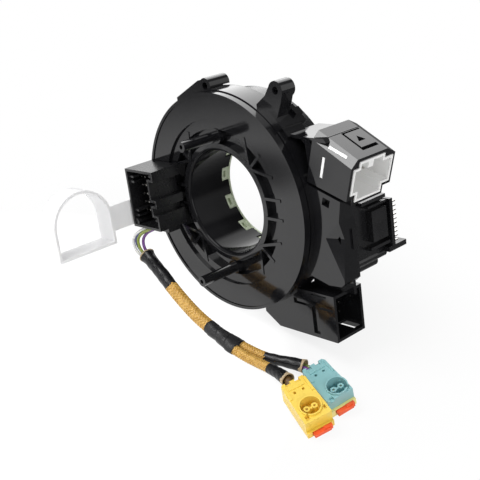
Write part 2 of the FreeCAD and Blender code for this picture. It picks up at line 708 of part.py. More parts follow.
def make_stator_housing():
    """Drum wall, arm, both socket shells, the ears and the clip block, moulded as one."""
    drum_front = "dims.disc_thick + dims.run_gap"
    drum_wall = cut("drum_ring", drum("drum_outer", "dims.drum_radius", drum_front, "dims.drum_back"),
                    drum("drum_cavity", "dims.drum_radius - dims.drum_wall", drum_front + " - 1",
                         "dims.drum_back + 1"))
    arm = plate("arm_outer", arm_outline("0.0"), "dims.arm_front", "dims.arm_back")
    shroud = shroud_block("shroud_outer", "0.0")
    roof = plate("arm_roof", [
        ("38", "dims.arm_top - dims.roof_thick"),
        ("38", "dims.arm_top"),
        ("62.6", "dims.arm_top"),
        ("64", "dims.arm_top - dims.roof_thick"),
    ], "dims.arm_front", "dims.roof_back")
    roof_end = plate("arm_roof_end", [("38", "20"), ("38", "dims.arm_top"), ("62", "dims.arm_top"), ("60", "20")],
                     "dims.roof_back - dims.roof_thick", "dims.roof_back")
    cheek = taper("arm_cheek", [("39", "35"), ("52", "35"), ("62.9", "30.1"), ("53.1", "14.3"), ("49", "13")],
                  [("38", "35"), ("41", "35"), ("43", "31"), ("50.8", "15"), ("48", "13")],
                  "dims.arm_front - 0.1", "dims.arm_front + 2.6")
    corner = taper("arm_corner", [("57.9", "-9.3"), ("67.5", "-0.2"), ("67.5", "-30")],
                   [("66.4", "-9.3"), ("67.5", "-8.3"), ("67.5", "-10.6")],
                   "dims.arm_front - 0.1", "dims.arm_front + 2.4")
    arm = cut("arm_faced", fuse("arm_blank", [arm, roof, roof_end]), fuse("arm_facets", [cheek, corner]))
    low_box = span("low_outer", ("dims.low_left", "dims.low_mouth"), ("dims.low_front", "dims.low_back"),
                   ("dims.low_bottom", "dims.low_top"))
    low_web = plate("low_web", [
        ("14", "-50.5"),
        ("14", "-53.2"),
        ("22.7", "dims.low_bottom"),
        ("dims.low_left + 2", "dims.low_bottom"),
        ("dims.low_left + 2", "-39"),
    ], "dims.low_front", "dims.drum_back")
    low_back = span("low_bridge", ("40", "dims.arm_right - 3"), ("dims.arm_back - dims.arm_wall", "dims.arm_back"),
                    ("dims.low_top - 0.5", "dims.arm_bottom"))
    left_ear = fuse("left_ear", [
        drum("left_boss", "dims.ear_radius", "6", "18", "-8", "53.3"),
        plate("left_gusset", [("-29.7", "43"), ("-29.7", "47.2"), ("-12.7", "55.6"), ("-8.5", "56.2"),
                              ("-5.2", "53"), ("-5.2", "49")], "6", "14"),
    ])
    right_ear = fuse("right_ear", [
        drum("right_boss", "dims.ear_radius + 0.5", "6", "14", "37.2", "52.6"),
        plate("right_gusset", [("24", "45.8"), ("30.5", "50.2"), ("33.4", "54.2"), ("41", "51"), ("39.5", "47"),
                               ("35", "38")], "6", "13"),
    ])
    clip_x, clip_z = polar("dims.drum_radius - 1", 48)
    step_x, step_z = polar("dims.drum_radius - 1", 41)
    clip_block = fuse("clip_block", [
        beam("clip_pad", clip_x, clip_z, "3.4", "9.6", "4.4", "19.5", 48),
        beam("clip_step", step_x, step_z, "2.4", "5.6", "5.4", "17.0", 41),
        beam("clip_tab", clip_x, clip_z, "5.0", "3.6", "15.0", "19.5", 48),
    ])
    latch = span("arm_latch", ("dims.arm_right - 0.4", "dims.arm_right + 0.8"),
                 ("dims.arm_back - 3.4", "dims.arm_back"), ("-15", "-6"))
    inside = drum("drum_inside", "dims.drum_radius - dims.drum_wall / 2", "0.0", "dims.shroud_back + 2")
    behind = drum("case_room", "dims.drum_radius + 0.2", "dims.drum_back", "dims.shroud_back + 1")
    outside = []
    for piece in (arm, shroud, low_box, low_web, low_back, left_ear, right_ear, clip_block, latch):
        outside.append(cut(piece.Name + "_clear", piece, inside))
    trimmed = cut("housing_trimmed", fuse("housing_outside", outside), behind)
    whole = fuse("housing_blank", [trimmed, drum_wall])
    arm_hollow = cut("arm_hollow", plate("arm_inner", arm_outline("dims.arm_wall"), "dims.arm_front + dims.arm_wall",
                                         "dims.arm_back + 1"),
                     fuse("arm_keep", [
                         drum("drum_keep", "dims.drum_radius", "0.0", "dims.arm_back + 2"),
                         shroud_block("socket_keep", "(0.0 - 0.01)"),
                         span("window_keep", ("56", "66"), ("0.0", "dims.arm_front + 2.4"), ("2", "11")),
                     ]))
    insert_room = insert_block("insert_room", "(0.0 - dims.insert_gap)", "dims.insert_floor - 0.25",
                               "dims.shroud_mouth + 1")
    under = tilt(span("shroud_under", ("45", "dims.shroud_mouth + 1"), ("dims.arm_front - 1", "dims.arm_front + 2.4"),
                      ("dims.shroud_low + 1.6", "dims.shroud_low + 3.0")))
    low_room = span("low_room", ("dims.low_left + 6", "dims.low_mouth + 1"),
                    ("dims.low_front + dims.low_wall", "dims.low_back - dims.low_wall"),
                    ("dims.low_bottom + dims.low_wall", "dims.low_top - dims.low_wall"))
    low_slot = span("low_slot", ("46", "dims.low_mouth - 2.4"), ("dims.low_back - 4.6", "dims.low_back - dims.low_wall"),
                    ("dims.low_bottom - 1", "dims.low_bottom + 3"))
    low_side = span("low_side", ("44.6", "48.4"), ("dims.low_front - 1", "dims.low_front + 1.2"), ("-57", "-41.4"))
    low_line = span("low_line", ("33.8", "57.2"), ("dims.low_front - 1", "dims.low_front + 1.0"), ("-44.4", "-41.8"))
    low_thin = span("low_thin", ("45.3", "54"), ("dims.low_front - 1", "dims.low_front + 0.7"), ("-38.4", "-37.6"))
    ears = [
        drum("left_hole", "dims.ear_hole", "5", "19", "-8", "53.3"),
        drum("right_hole", "dims.ear_hole", "5", "15", "37.2", "52.6"),
    ]
    window = tilt(span("arm_window", ("53.6", "57.6"), ("dims.arm_front - 1", "dims.arm_front + 4"), ("22.7", "26.2")))
    slot_wide = tilt(span("shroud_slot", ("50.3", "51.9"), ("dims.arm_front - 1", "dims.arm_front + 1.2"), ("34", "43.7")))
    strip = tilt(span("latch_back", ("50.0", "50.8"), ("15.5", "26.5"), ("dims.shroud_top - 1.0", "dims.shroud_top + 5")))
    strip_near = tilt(span("latch_near", ("50.0", "60.6"), ("15.5", "16.6"), ("dims.shroud_top - 1.0", "dims.shroud_top + 5")))
    strip_mouth = tilt(span("latch_mouth", ("60.6", "62.4"), ("15.5", "25.6"), ("dims.shroud_top - 1.0", "dims.shroud_top + 5")))
    arrow = tilt(bar("latch_arrow", [("53.8", "21"), ("57.2", "18.8"), ("57.2", "23.2")],
                     "dims.shroud_top - 0.5", "dims.shroud_top + 5"))
    rooms = fuse("housing_rooms", [arm_hollow, insert_room, low_room, low_slot, low_side, low_line,
                                   low_thin, window, slot_wide, under, strip, strip_near, strip_mouth, arrow] + ears)
    hollow = cut("housing_hollow", whole, rooms)
    stand(hollow, "stator_housing")


def make_white_socket():
    """Light insert of the big socket: a thin stepped cup, a little proud of the shroud."""
    cup = insert_block("insert_outer", "0.0", "dims.insert_floor", "dims.shroud_mouth + dims.insert_proud")
    room = insert_block("insert_hollow", "dims.insert_wall", "dims.insert_floor + dims.insert_wall",
                        "dims.shroud_mouth + dims.insert_proud + 1")
    key = tilt(span("key_top", ("dims.insert_floor + 0.4", "dims.shroud_mouth + dims.insert_proud - 0.6"),
                    ("16.2", "19.4"), ("dims.insert_top - 4.4", "dims.insert_top - 0.3")))
    stand(fuse("white_socket", [cut("insert_shell", cup, room), key]), "white_socket")


def make_white_socket_pins():
    pins = []
    floor = "dims.insert_floor + dims.insert_wall"
    for row in range(2):
        for step in range(6):
            y = "12.6 + 2.5 * %d" % step
            z = "dims.shroud_low + 8.5 + 4.0 * %d" % row
            pins.append(tilt(box("socket_pin_%d_%d" % (row, step), floor, y, z, "9.0", "dims.blade", "dims.blade")))
    stand(group("white_socket_pins", pins), "white_socket_pins")


def make_lower_socket_pins():
    pins = []
    for row in range(2):
        for step in range(3):
            y = "9.0 + 4.6 * %d" % step
            z = "dims.low_bottom + 8.0 + 4.6 * %d" % row
            pins.append(box("low_pin_%d_%d" % (row, step), "dims.low_left + 6", y, z, "10.0", "dims.blade", "dims.blade"))
    stand(group("lower_socket_pins", pins), "lower_socket_pins")


def make_rear_cover():
    """Plate that closes the drum from behind, with a step that fits inside its wall."""
    step = drum("cover_step", "dims.drum_radius - dims.drum_wall - 0.1", "dims.drum_back - dims.cover_thick",
                "dims.drum_back + 0.2")
    flange = drum("cover_flange", "dims.drum_radius - 0.3", "dims.drum_back", CASE_FRONT)
    hole = drum("cover_hole", HUB + " + dims.run_gap", "dims.drum_back - dims.cover_thick - 1", CASE_FRONT + " + 1")
    stand(cut("rear_cover", fuse("cover_blank", [step, flange]), hole), "rear_cover")


SCREW_ANGLES = (60, 150, 240, 300)
SCREW_CIRCLE = "(dims.case_radius - dims.case_wall - 3.4)"
GEARS = (("gear_a", 27, "gear_a_teeth"), ("gear_b", -27, "gear_b_teeth"))


def gear_distance(alias):
    return "(dims.tooth_module * (dims.ring_teeth + dims.%s) / 2)" % alias


def make_sensor_case():
    """Cup behind the drum that carries the measuring gears on stub pins."""
    floor_back = "(" + CASE_FRONT + " + dims.case_wall)"
    outer = drum("case_outer", "dims.case_radius", CASE_FRONT, "dims.case_back")
    inner = drum("case_inner", "dims.case_radius - dims.case_wall", floor_back, "dims.case_back + 1")
    hole = drum("case_hole", HUB + " + dims.run_gap", CASE_FRONT + " - 1", floor_back + " + 1")
    pieces = [cut("case_cup", cut("case_shell", outer, inner), hole)]
    holes = []
    for name, angle, alias in GEARS:
        x, z = polar(gear_distance(alias), angle)
        pieces.append(drum(name + "_stub", "dims.gear_pin", floor_back + " - 0.4", floor_back + " + 2.6", x, z))
    for angle in SCREW_ANGLES:
        x, z = polar(SCREW_CIRCLE, angle)
        pieces.append(drum("case_boss_%d" % angle, "3.0", floor_back + " - 0.4", "dims.case_back", x, z))
        holes.append(drum("case_pilot_%d" % angle, "dims.screw_shank + 0.1", "dims.case_back - 6.5",
                          "dims.case_back + 1", x, z))
    stand(cut("sensor_case", fuse("case_whole", pieces), fuse("case_holes", holes)), "sensor_case")


def make_sensor_cover():
    plate_back = "dims.case_back + dims.case_cover"
    disc = drum("lid_disc", "dims.case_radius", "dims.case_back", plate_back)
    holes = [drum("lid_hole", "dims.ring_radius + 0.6", "dims.case_back - 1", plate_back + " + 1")]
    for angle in SCREW_ANGLES:
        x, z = polar(SCREW_CIRCLE, angle)
        holes.append(drum("lid_pilot_%d" % angle, "dims.screw_shank + 0.2", "dims.case_back - 1",
                          plate_back + " + 1", x, z))
    stand(cut("sensor_cover", disc, fuse("lid_holes", holes)), "sensor_cover")


def make_cover_screws():
    plate_back = "dims.case_back + dims.case_cover"
    screws = []
    for angle in SCREW_ANGLES:
        x, z = polar(SCREW_CIRCLE, angle)
        shank = drum("shank_%d" % angle, "dims.screw_shank", "dims.case_back - 6.0", plate_back + " + 0.4", x, z)
        head = drum("head_%d" % angle, "dims.screw_head", plate_back, plate_back + " + dims.screw_head_high", x, z)
        drive = "dims.screw_head * 1.3"
        cross = []
        for name, wide, high in (("flat", drive, "0.6"), ("tall", "0.6", drive)):
            cross.append(box("drive_%s_%d" % (name, angle), "(%s) - (%s) / 2" % (x, wide),
                             plate_back + " + dims.screw_head_high - 0.8", "(%s) - (%s) / 2" % (z, high),
                             wide, "2.0", high))
        screws.append(cut("screw_%d" % angle, fuse("screw_blank_%d" % angle, [shank, head]),
                          fuse("screw_drive_%d" % angle, cross)))
    stand(group("cover_screws", screws), "cover_screws")


def make_sensor_board():
    front = "dims.board_front"
    back = "dims.board_front + dims.board_thick"
    disc = drum("board_disc", "dims.case_radius - dims.case_wall - 0.3", front, back)
    cuts = [drum("board_hole", "dims.ring_radius + 2.6", front + " - 1", back + " + 1"),
            span("board_cut", ("-60", "12"), (front + " - 1", back + " + 1"), ("-60", "60"))]
    for angle in (60, 300):
        x, z = polar(SCREW_CIRCLE, angle)
        cuts.append(drum("board_boss_%d" % angle, "3.3", front + " - 1", back + " + 1", x, z))
    stand(cut("sensor_board", disc, fuse("board_cuts", cuts)), "sensor_board")


def make_gears():
    front = size("drum_back") + size("cover_thick") + size("case_wall") + size("run_gap")
    for name, angle, alias in GEARS:
        teeth = int(size(alias))
        contact = math.radians(angle + 180)
        gear = gear_solid(name + "_teeth", teeth, contact + math.pi / teeth, front, size("gear_thick"))
        x, z = polar(gear_distance(alias), angle)
        bind(gear, Placement__Base__x=x, Placement__Base__z=z)
        bore = drum(name + "_bore", "dims.gear_pin + 0.05", GEAR_FRONT + " - 1", GEAR_FRONT + " + 2.6", x, z)
        stand(cut(name, gear, bore), name)
        back = GEAR_FRONT + " + dims.gear_thick"
        stand(group("magnet" + name[4:], [
            drum("magnet_disc" + name[4:], "dims.magnet_radius", back, back + " + dims.magnet_thick", x, z)]),
            "magnet" + name[4:])


def make_sensor_header():
    """Pin header at the right of the sensor case, behind the arm."""
    front = CASE_FRONT
    left = "dims.case_radius + 1.0"
    core = span("head_core", (left, "dims.head_right"), (front, "dims.head_back - 1.5"), ("dims.head_low + 3", "dims.head_top - 1.6"))
    pieces = [
        core,
        span("head_top_rib", ("dims.head_right - 6", "dims.head_panel"), ("20", "36"), ("dims.head_top - 1.6", "dims.head_top")),
        span("head_mid_rib", ("dims.head_right - 6", "dims.head_panel"), ("24", "36"), ("dims.head_top - 3.8", "dims.head_top - 2.8")),
        span("head_panel_block", ("dims.head_right - 1", "dims.head_panel"), ("26", "36"), ("-17", "-3")),
        span("head_low_rib", ("dims.head_right - 6", "dims.head_panel"), ("24", "37"), ("-20.4", "-19")),
        span("head_rear", ("dims.head_right - 11", "dims.head_panel + 0.4"), ("dims.head_back - 2", "dims.head_back"), ("-22.5", "-0.6")),
        span("head_tongue", ("dims.head_right - 3", "dims.head_panel"), ("dims.head_back - 4", "dims.head_back + 8"), ("-24.8", "-22.4")),
        drum("head_bar_top", "2.2", front, "dims.head_back - 2", "dims.head_right - 2", "dims.head_low + 1.4"),
        drum("head_bar_low", "2.6", front, "dims.head_back - 6", "dims.head_right - 4.6", "dims.head_low - 1.8"),
        span("head_case_lug", ("dims.case_radius + 0.2", left + " + 1"), (CASE_FRONT, "dims.case_back"), ("-12", "-4")),
    ]
    stand(fuse("sensor_header", pieces), "sensor_header")


def make_header_pins():
    pins = []
    for step in range(10):
        pins.append(box("head_pin_%d" % step, "dims.head_panel - 1.4", "dims.head_back",
                        "-3.0 - 2.0 * %d - dims.head_pin" % step, "2 * dims.head_pin", "3.4", "2 * dims.head_pin"))
    stand(group("header_pins", pins), "header_pins")


def round_route(points):
    """Straight runs joined by arcs as large as the runs allow; gives the path and its radii."""
    corners = [FreeCAD.Vector(*point) for point in points]
    edges = []
    radii = []
    start = corners[0]
    for before, corner, after in zip(corners, corners[1:], corners[2:]):
        into = (corner - before).normalize()
        onward = (after - corner).normalize()
        turn = into.getAngle(onward)
        trim = 0.45 * min((corner - before).Length, (after - corner).Length)
        radius = trim / math.tan(turn / 2)
        radii.append(radius)
        first = corner - into * trim
        last = corner + onward * trim
        inward = (onward - into).normalize()
        middle = corner + inward * (math.hypot(radius, trim) - radius)
        edges.append(Part.LineSegment(start, first).toShape())
        edges.append(Part.Arc(first, middle, last).toShape())
        start = last
    edges.append(Part.LineSegment(start, corners[-1]).toShape())
    return Part.Wire(edges), radii


def tube(route, radius):
    path, radii = round_route(route)
    heading = FreeCAD.Vector(*route[1]) - FreeCAD.Vector(*route[0])
    ring = Part.Wire([Part.Circle(FreeCAD.Vector(*route[0]), heading, radius).toShape()])
    return path.makePipeShell([ring], True, False), path, radii


def lay(obj, label):
    """Harness pieces lie in the row frame already and only move back with the origin."""
    obj.Placement = FreeCAD.Placement(FreeCAD.Vector(0, 0, 0), FreeCAD.Rotation())
    bind(obj, Placement__Base__y="-dims.origin_depth")
    obj.Label = label
    NODES.append(obj)


def laid_shape(label):
    """The shape of a finished sub-part, moved to where the harness routes are given."""
    shape = next(node for node in NODES if node.Label == label).Shape.copy()
    shape.translate(FreeCAD.Vector(0, size("origin_depth"), 0))
    return shape


def make_cord(name, routes, radius, hollow=0.0, clear_of=()):
    """Tubes along the routes, cut back from the pieces that they only touch."""
    solids = []
    for route in routes:
        solid, path, radii = tube(route, radius)
        section = math.pi * radius ** 2
        if hollow:
            solid = solid.cut(tube(route, hollow)[0])
            section -= math.pi * hollow ** 2
        print("%s: length %.1f, volume ratio %.4f, radii %s" % (
            name, path.Length, solid.Volume / (section * path.Length), " ".join("%.1f" % r for r in radii)))
        for label in clear_of:
            solid = solid.cut(laid_shape(label))
        solids.append(max(solid.Solids, key=lambda piece: piece.Volume))
    obj = doc.addObject("Part::Feature", name)
    obj.Shape = Part.makeCompound(solids) if len(solids) > 1 else solids[0]
    lay(obj, name)
    doc.recompute()


# Routes run from the connector to the plugs, in the row frame before the origin's shift.
WIRE_ROUTES = {
    "wire_white": [(-35.7, -14.7, -24.7), (-41.0, -14.7, -29.3), (-45.2, -15.3, -33.8), (-46.3, -15.6, -38.2),
                   (-43.6, -15.8, -41.8), (-39.2, -15.85, -42.8), (-33.5, -16.0, -42.8), (-26.5, -16.9, -43.6)],
    "wire_blue": [(-33.8, -13.1, -24.1), (-39.0, -13.3, -28.4), (-43.2, -13.3, -32.8), (-44.7, -13.5, -37.2),
                  (-42.4, -13.8, -41.0), (-38.4, -14.1, -42.6), (-33.0, -14.4, -42.6), (-26.4, -15.3, -43.5)],
    "wire_green": [(-31.9, -15.2, -23.5), (-36.7, -15.2, -27.4), (-40.9, -15.3, -31.4), (-42.6, -15.6, -35.6),
                   (-40.4, -15.8, -39.2), (-36.4, -15.9, -40.6), (-31.5, -16.3, -41.0), (-26.4, -17.0, -41.9)],
    "wire_purple": [(-30.0, -13.1, -22.9), (-34.6, -13.3, -26.6), (-38.8, -13.3, -30.6), (-41.0, -13.5, -35.0),
                    (-39.4, -13.9, -39.0), (-35.6, -14.1, -40.6), (-31.0, -14.6, -41.0), (-26.4, -15.3, -42.0)],
}
SLEEVE_ROUTE = [(-35.1, -15.0, -41.3), (-24.0, -16.5, -43.1), (-12.2, -18.5, -45.3)]
BRAID_ROUTE = [(-12.2, -18.5, -45.3), (-4.2, -19.6, -46.8), (3.8, -20.4, -48.2), (11.8, -21.2, -49.0),
               (19.8, -21.8, -49.1)]
TAPE_ROUTE = [(19.8, -21.8, -49.1), (26.8, -22.2, -49.2), (34.0, -21.8, -49.1)]
YELLOW_ROUTE = [(34.0, -24.2, -49.4), (44.0, -23.2, -49.8), (54.6, -22.4, -48.7), (63.4, -23.2, -46.6),
                (68.6, -24.3, -45.4)]
YELLOW_SLEEVE_ROUTE = [(68.6, -24.3, -45.4), (72.6, -25.1, -44.5), (76.4, -26.0, -43.75)]
TEAL_ROUTE = [(34.0, -19.4, -49.4), (42.0, -17.0, -49.9), (50.6, -14.7, -49.7), (58.6, -12.5, -48.5),
              (66.0, -10.7, -47.1)]
TEAL_SLEEVE_ROUTE = [(58.6, -12.5, -48.5), (63.6, -11.2, -47.5), (68.6, -10.0, -46.6)]
TEAL_LEADS = (((66.0, -11.6, -47.1), (70.0, -10.9, -46.4), (73.4, -10.5, -46.0)),
              ((66.0, -9.8, -47.1), (70.0, -8.9, -46.5), (73.9, -8.2, -46.1)))


PLUGS = {
    "yellow": {"x": 76.57, "y": -24.52, "yaw": -15.5, "pitch": 6.0, "roll": 17.0, "side": 0.0, "place": 15.4},
    "teal": {"x": 73.84, "y": -7.86, "yaw": -14.5, "pitch": 0.0, "roll": 18.0, "side": 1.5, "place": 17.0},
}


def make_plug(colour, plan):
    """One airbag plug in its own frame: X away from the wires, Z up, then laid on the surface."""
    half = "dims.plug_width / 2"
    top = "dims.plug_height"
    place = "dims.well_place + %.3f" % (plan["place"] - 15.4)
    side = "%.3f" % plan["side"]

    def shelf(name, x, y, z):
        return span(colour + "_" + name, x, y, z)

    def post(name, radius, low, high, dy="0.0", dx="0.0"):
        obj = doc.addObject("Part::Cylinder", colour + "_" + name)
        return bind(obj, Radius=radius, Height="(%s) - (%s)" % (high, low),
                    Placement__Base__x="%s + %s" % (place, dx), Placement__Base__y="%s + %s" % (side, dy),
                    Placement__Base__z=low)

    def settle(obj, node):
        rise = ("dims.floor_z + dims.plug_length * sin(%.2f deg) + dims.plug_width / 2 * sin(%.2f deg)"
                " * cos(%.2f deg) + 0.05" % (plan["pitch"], plan["roll"], plan["pitch"]))
        obj.Placement = FreeCAD.Placement(FreeCAD.Vector(plan["x"], plan["y"], 0),
                                          FreeCAD.Rotation(plan["yaw"], plan["pitch"], plan["roll"]))
        bind(obj, Placement__Base__y="%.2f - dims.origin_depth" % plan["y"], Placement__Base__z=rise)
        obj.Label = node
        NODES.append(obj)

    split = "dims.shell_height"
    lock_low = "(dims.shell_height - dims.lock_thick) / 2 - dims.run_gap / 2"
    block = bar(colour + "_block", [
        ("0.0", "-%s + 0.8" % half), ("1.2", "-" + half), ("dims.plug_length - 6", "-%s - 0.5" % half),
        ("dims.plug_length - 1.2", "-%s - 0.5" % half), ("dims.plug_length - 1.2", half + " + 0.5"),
        ("dims.plug_length - 6", half + " + 0.5"), ("1.2", half), ("0.0", half + " - 0.8")], split, top)
    solids = [
        block,
        post("ring", "dims.well_radius + 0.55", top + " - 0.4", top + " + 1.0"),
        shelf("rail_near", ("1.6", "9.0"), ("-" + half, "-%s + 1.2" % half), (top + " - 0.2", top + " + 0.5")),
        shelf("rail_far", ("1.6", "9.0"), (half + " - 1.2", half), (top + " - 0.2", top + " + 0.5")),
        shelf("rear_step", ("0.3", "4.6"), ("-%s + 2" % half, half + " - 2"), (top + " - 0.2", top + " + 0.35")),
    ]
    well = post("well", "dims.well_radius", top + " - dims.well_depth", top + " + 2")
    red_way = shelf("red_window", (place + " + 3.0", place + " + 5.4"),
                    ("-%s + 0.9" % half, "-%s + 2.7" % half), (top + " - 1.4", top + " + 2"))
    holes = [
        red_way,
        shelf("far_window", (place + " + 2.2", place + " + 4.2"), (half + " - 1.4", half + " - 0.4"),
              (top + " - 1.4", top + " + 2")),
        shelf("wire_notch_a", ("-1", "2.2"), ("-3.6", "-1.4"), (top + " - 1.6", top + " + 2")),
        shelf("wire_notch_b", ("-1", "2.2"), ("0.8", "3.0"), (top + " - 1.6", top + " + 2")),
    ]
    for index, dy in enumerate(("-2.1", "1.9")):
        obj = doc.addObject("Part::Cylinder", "%s_pip_%d" % (colour, index))
        bind(obj, Radius="0.65", Height="4.0", Placement__Base__x="6.2", Placement__Base__y=dy,
             Placement__Base__z=top + " - 1.4")
        holes.append(obj)
    open_block = cut(colour + "_open", fuse(colour + "_solid", solids), fuse(colour + "_holes", [well] + holes))
    tubes = []
    bores = []
    for name, sign in (("near", "-"), ("far", "")):
        dy = sign + "dims.tube_pitch / 2"
        tubes.append(post("tube_" + name, "dims.tube_radius", top + " - dims.well_depth - 0.3", top + " - 0.6", dy))
        bores.append(post("tube_bore_" + name, "dims.tube_bore", top + " - dims.well_depth + 0.4", top + " + 1", dy))
    tubes.append(shelf("tube_web", (place + " - 0.45", place + " + 0.45"), (side + " - 1.8", side + " + 1.8"),
                       (top + " - dims.well_depth - 0.3", top + " - 1.0")))
    settle(cut(colour + "_plug", fuse(colour + "_plug_whole", [open_block] + tubes),
               fuse(colour + "_plug_bores", bores)), colour + "_plug")

    terminals = [post("contact_" + name, "dims.tube_bore - 0.08", top + " - dims.well_depth + 0.4", top + " - 1.4",
                      sign + "dims.tube_pitch / 2") for name, sign in (("near", "-"), ("far", ""))]
    settle(group(colour + "_terminals", terminals), colour + "_terminals")

    lip = "dims.shell_lip"
    shell = bar(colour + "_shell_block", [
        ("0.4", "-%s + 0.8" % half), ("1.4", "-%s - 0.1" % half), ("dims.plug_length - 7", "-%s - %s" % (half, lip)),
        ("dims.plug_length", "-%s - %s" % (half, lip)), ("dims.plug_length", "%s + %s" % (half, lip)),
        ("dims.plug_length - 7", "%s + %s" % (half, lip)), ("1.4", half + " + 0.1"), ("0.4", half + " - 0.8")],
        "0.0", split)
    way = shelf("lock_way", ("dims.plug_length - dims.lock_length - 0.4", "dims.plug_length + 1"),
                ("-dims.lock_width / 2 - dims.run_gap", "dims.lock_width / 2 + dims.run_gap"),
                (lock_low, lock_low + " + dims.lock_thick + 2 * dims.run_gap"))
    settle(cut(colour + "_shell", shell, way), colour + "_shell")

    tongue = shelf("lock_tongue", ("dims.plug_length - dims.lock_length", "dims.plug_length + 0.2"),
                   ("-dims.lock_width / 2", "dims.lock_width / 2"),
                   (lock_low + " + dims.run_gap", lock_low + " + dims.run_gap + dims.lock_thick"))
    nose = shelf("lock_nose", ("dims.plug_length + 0.1", "dims.plug_length + dims.lock_out"),
                 ("-dims.lock_width / 2", "dims.lock_width / 2"),
                 (lock_low + " + dims.run_gap", lock_low + " + dims.run_gap + dims.lock_thick"))
    knuckle = shelf("lock_knuckle", ("dims.plug_length + 0.1", "dims.plug_length + dims.lock_out - 0.4"),
                    ("dims.lock_width / 2 - 3.0", "dims.lock_width / 2 + 0.9"),
                    (lock_low + " + dims.run_gap", lock_low + " + dims.run_gap + dims.lock_thick + 0.7"))
    settle(fuse(colour + "_lock", [tongue, nose, knuckle]), colour + "_lock")


def make_harness():
    doc.recompute()
    for name, route in WIRE_ROUTES.items():
        make_cord(name, [route], size("wire_radius"), clear_of=["rotor_connector"])
    inner = size("trunk_radius") - size("sleeve_wall")
    make_cord("harness_sleeve", [SLEEVE_ROUTE], size("trunk_radius"), inner)
    make_cord("harness_braid", [BRAID_ROUTE], size("trunk_radius"), clear_of=["harness_sleeve"])
    make_cord("harness_tape", [TAPE_ROUTE], size("trunk_radius"), clear_of=["harness_braid"])
    make_cord("branch_yellow", [YELLOW_ROUTE], size("branch_radius"), clear_of=["harness_tape"])
    make_cord("sleeve_yellow", [YELLOW_SLEEVE_ROUTE], size("branch_sleeve"),
              clear_of=["branch_yellow", "yellow_plug", "yellow_shell"])
    make_cord("branch_teal", [TEAL_ROUTE], size("branch_radius"), clear_of=["harness_tape", "branch_yellow"])
    make_cord("sleeve_teal", [TEAL_SLEEVE_ROUTE], size("branch_sleeve"), size("branch_radius") + 0.15)
    make_cord("teal_leads", TEAL_LEADS, size("wire_radius"), clear_of=["branch_teal", "teal_plug"])


make_rotor()
make_rotor_connector()
make_rotor_terminals()
make_lock_tab()
make_drive_ring()
make_flat_cable()
make_stator_housing()
make_white_socket()
make_white_socket_pins()
make_lower_socket_pins()
make_rear_cover()
make_sensor_case()
make_sensor_cover()
make_cover_screws()
make_sensor_board()
make_gears()
make_sensor_header()
make_header_pins()
for plug_colour, plug_plan in PLUGS.items():
    make_plug(plug_colour, plug_plan)
make_harness()
doc.recompute()

for item in doc.Objects:
    if "Invalid" in item.State or "Error" in item.State:
        raise RuntimeError("%s did not build" % item.Name)
for node in NODES:
    if node.Shape.isNull() or not node.Shape.isValid() or not node.Shape.Solids:
        raise RuntimeError("%s has no valid shape" % node.Label)
for node in NODES:
    node.Shape.exportStep("parts/%s.step" % node.Label)
    print("%-20s solids %d volume %.1f" % (node.Label, len(node.Shape.Solids), node.Shape.Volume))
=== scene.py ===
import json
import math

import bpy
from mathutils import Matrix, Vector


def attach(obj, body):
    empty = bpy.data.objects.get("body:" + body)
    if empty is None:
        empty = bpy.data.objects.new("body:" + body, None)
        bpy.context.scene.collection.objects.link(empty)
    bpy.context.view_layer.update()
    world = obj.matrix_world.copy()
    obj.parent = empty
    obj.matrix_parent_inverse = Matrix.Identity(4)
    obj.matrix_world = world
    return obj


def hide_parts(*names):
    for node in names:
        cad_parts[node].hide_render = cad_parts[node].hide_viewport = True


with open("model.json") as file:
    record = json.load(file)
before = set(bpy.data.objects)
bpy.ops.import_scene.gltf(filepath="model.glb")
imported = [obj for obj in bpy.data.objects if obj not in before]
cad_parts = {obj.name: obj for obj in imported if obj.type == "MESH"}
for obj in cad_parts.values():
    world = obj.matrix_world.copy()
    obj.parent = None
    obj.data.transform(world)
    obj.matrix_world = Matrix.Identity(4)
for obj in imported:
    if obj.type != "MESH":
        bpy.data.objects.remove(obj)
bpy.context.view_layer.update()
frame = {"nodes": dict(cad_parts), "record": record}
nodes = frame["nodes"]

MM = 0.001

# Camera: solved from the disc, the bore and the straight edges of the arm.
FOCAL_MM = 67.8
SENSOR_MM = 36.0
CAMERA_PLACE = Vector((260.2, -260.0, 204.1)) * MM
STAND_ANGLE = math.radians(17.5)
# Directions of the picture's right and forward in the housing's square frame.
SQUARE_RIGHT = Vector((0.6753, 0.7259, -0.1306))
SQUARE_FORWARD = Vector((-0.7219, 0.6142, -0.3189))

# The surface that the rim stands on.
FLOOR_Z = -52.5 * MM


def stood(vector):
    """A direction of the square frame in the row frame."""
    return Matrix.Rotation(-STAND_ANGLE, 3, "Y") @ vector


def make_camera():
    data = bpy.data.cameras.new("camera")
    data.sensor_width = SENSOR_MM
    data.sensor_fit = "HORIZONTAL"
    data.lens = FOCAL_MM
    data.clip_start = 0.01
    data.clip_end = 20.0
    camera = bpy.data.objects.new("camera", data)
    bpy.context.scene.collection.objects.link(camera)
    right = stood(SQUARE_RIGHT).normalized()
    forward = stood(SQUARE_FORWARD).normalized()
    up = right.cross(forward).normalized()
    turn = Matrix((right, up, -forward)).transposed()
    camera.matrix_world = Matrix.Translation(CAMERA_PLACE) @ turn.to_4x4()
    bpy.context.scene.camera = camera


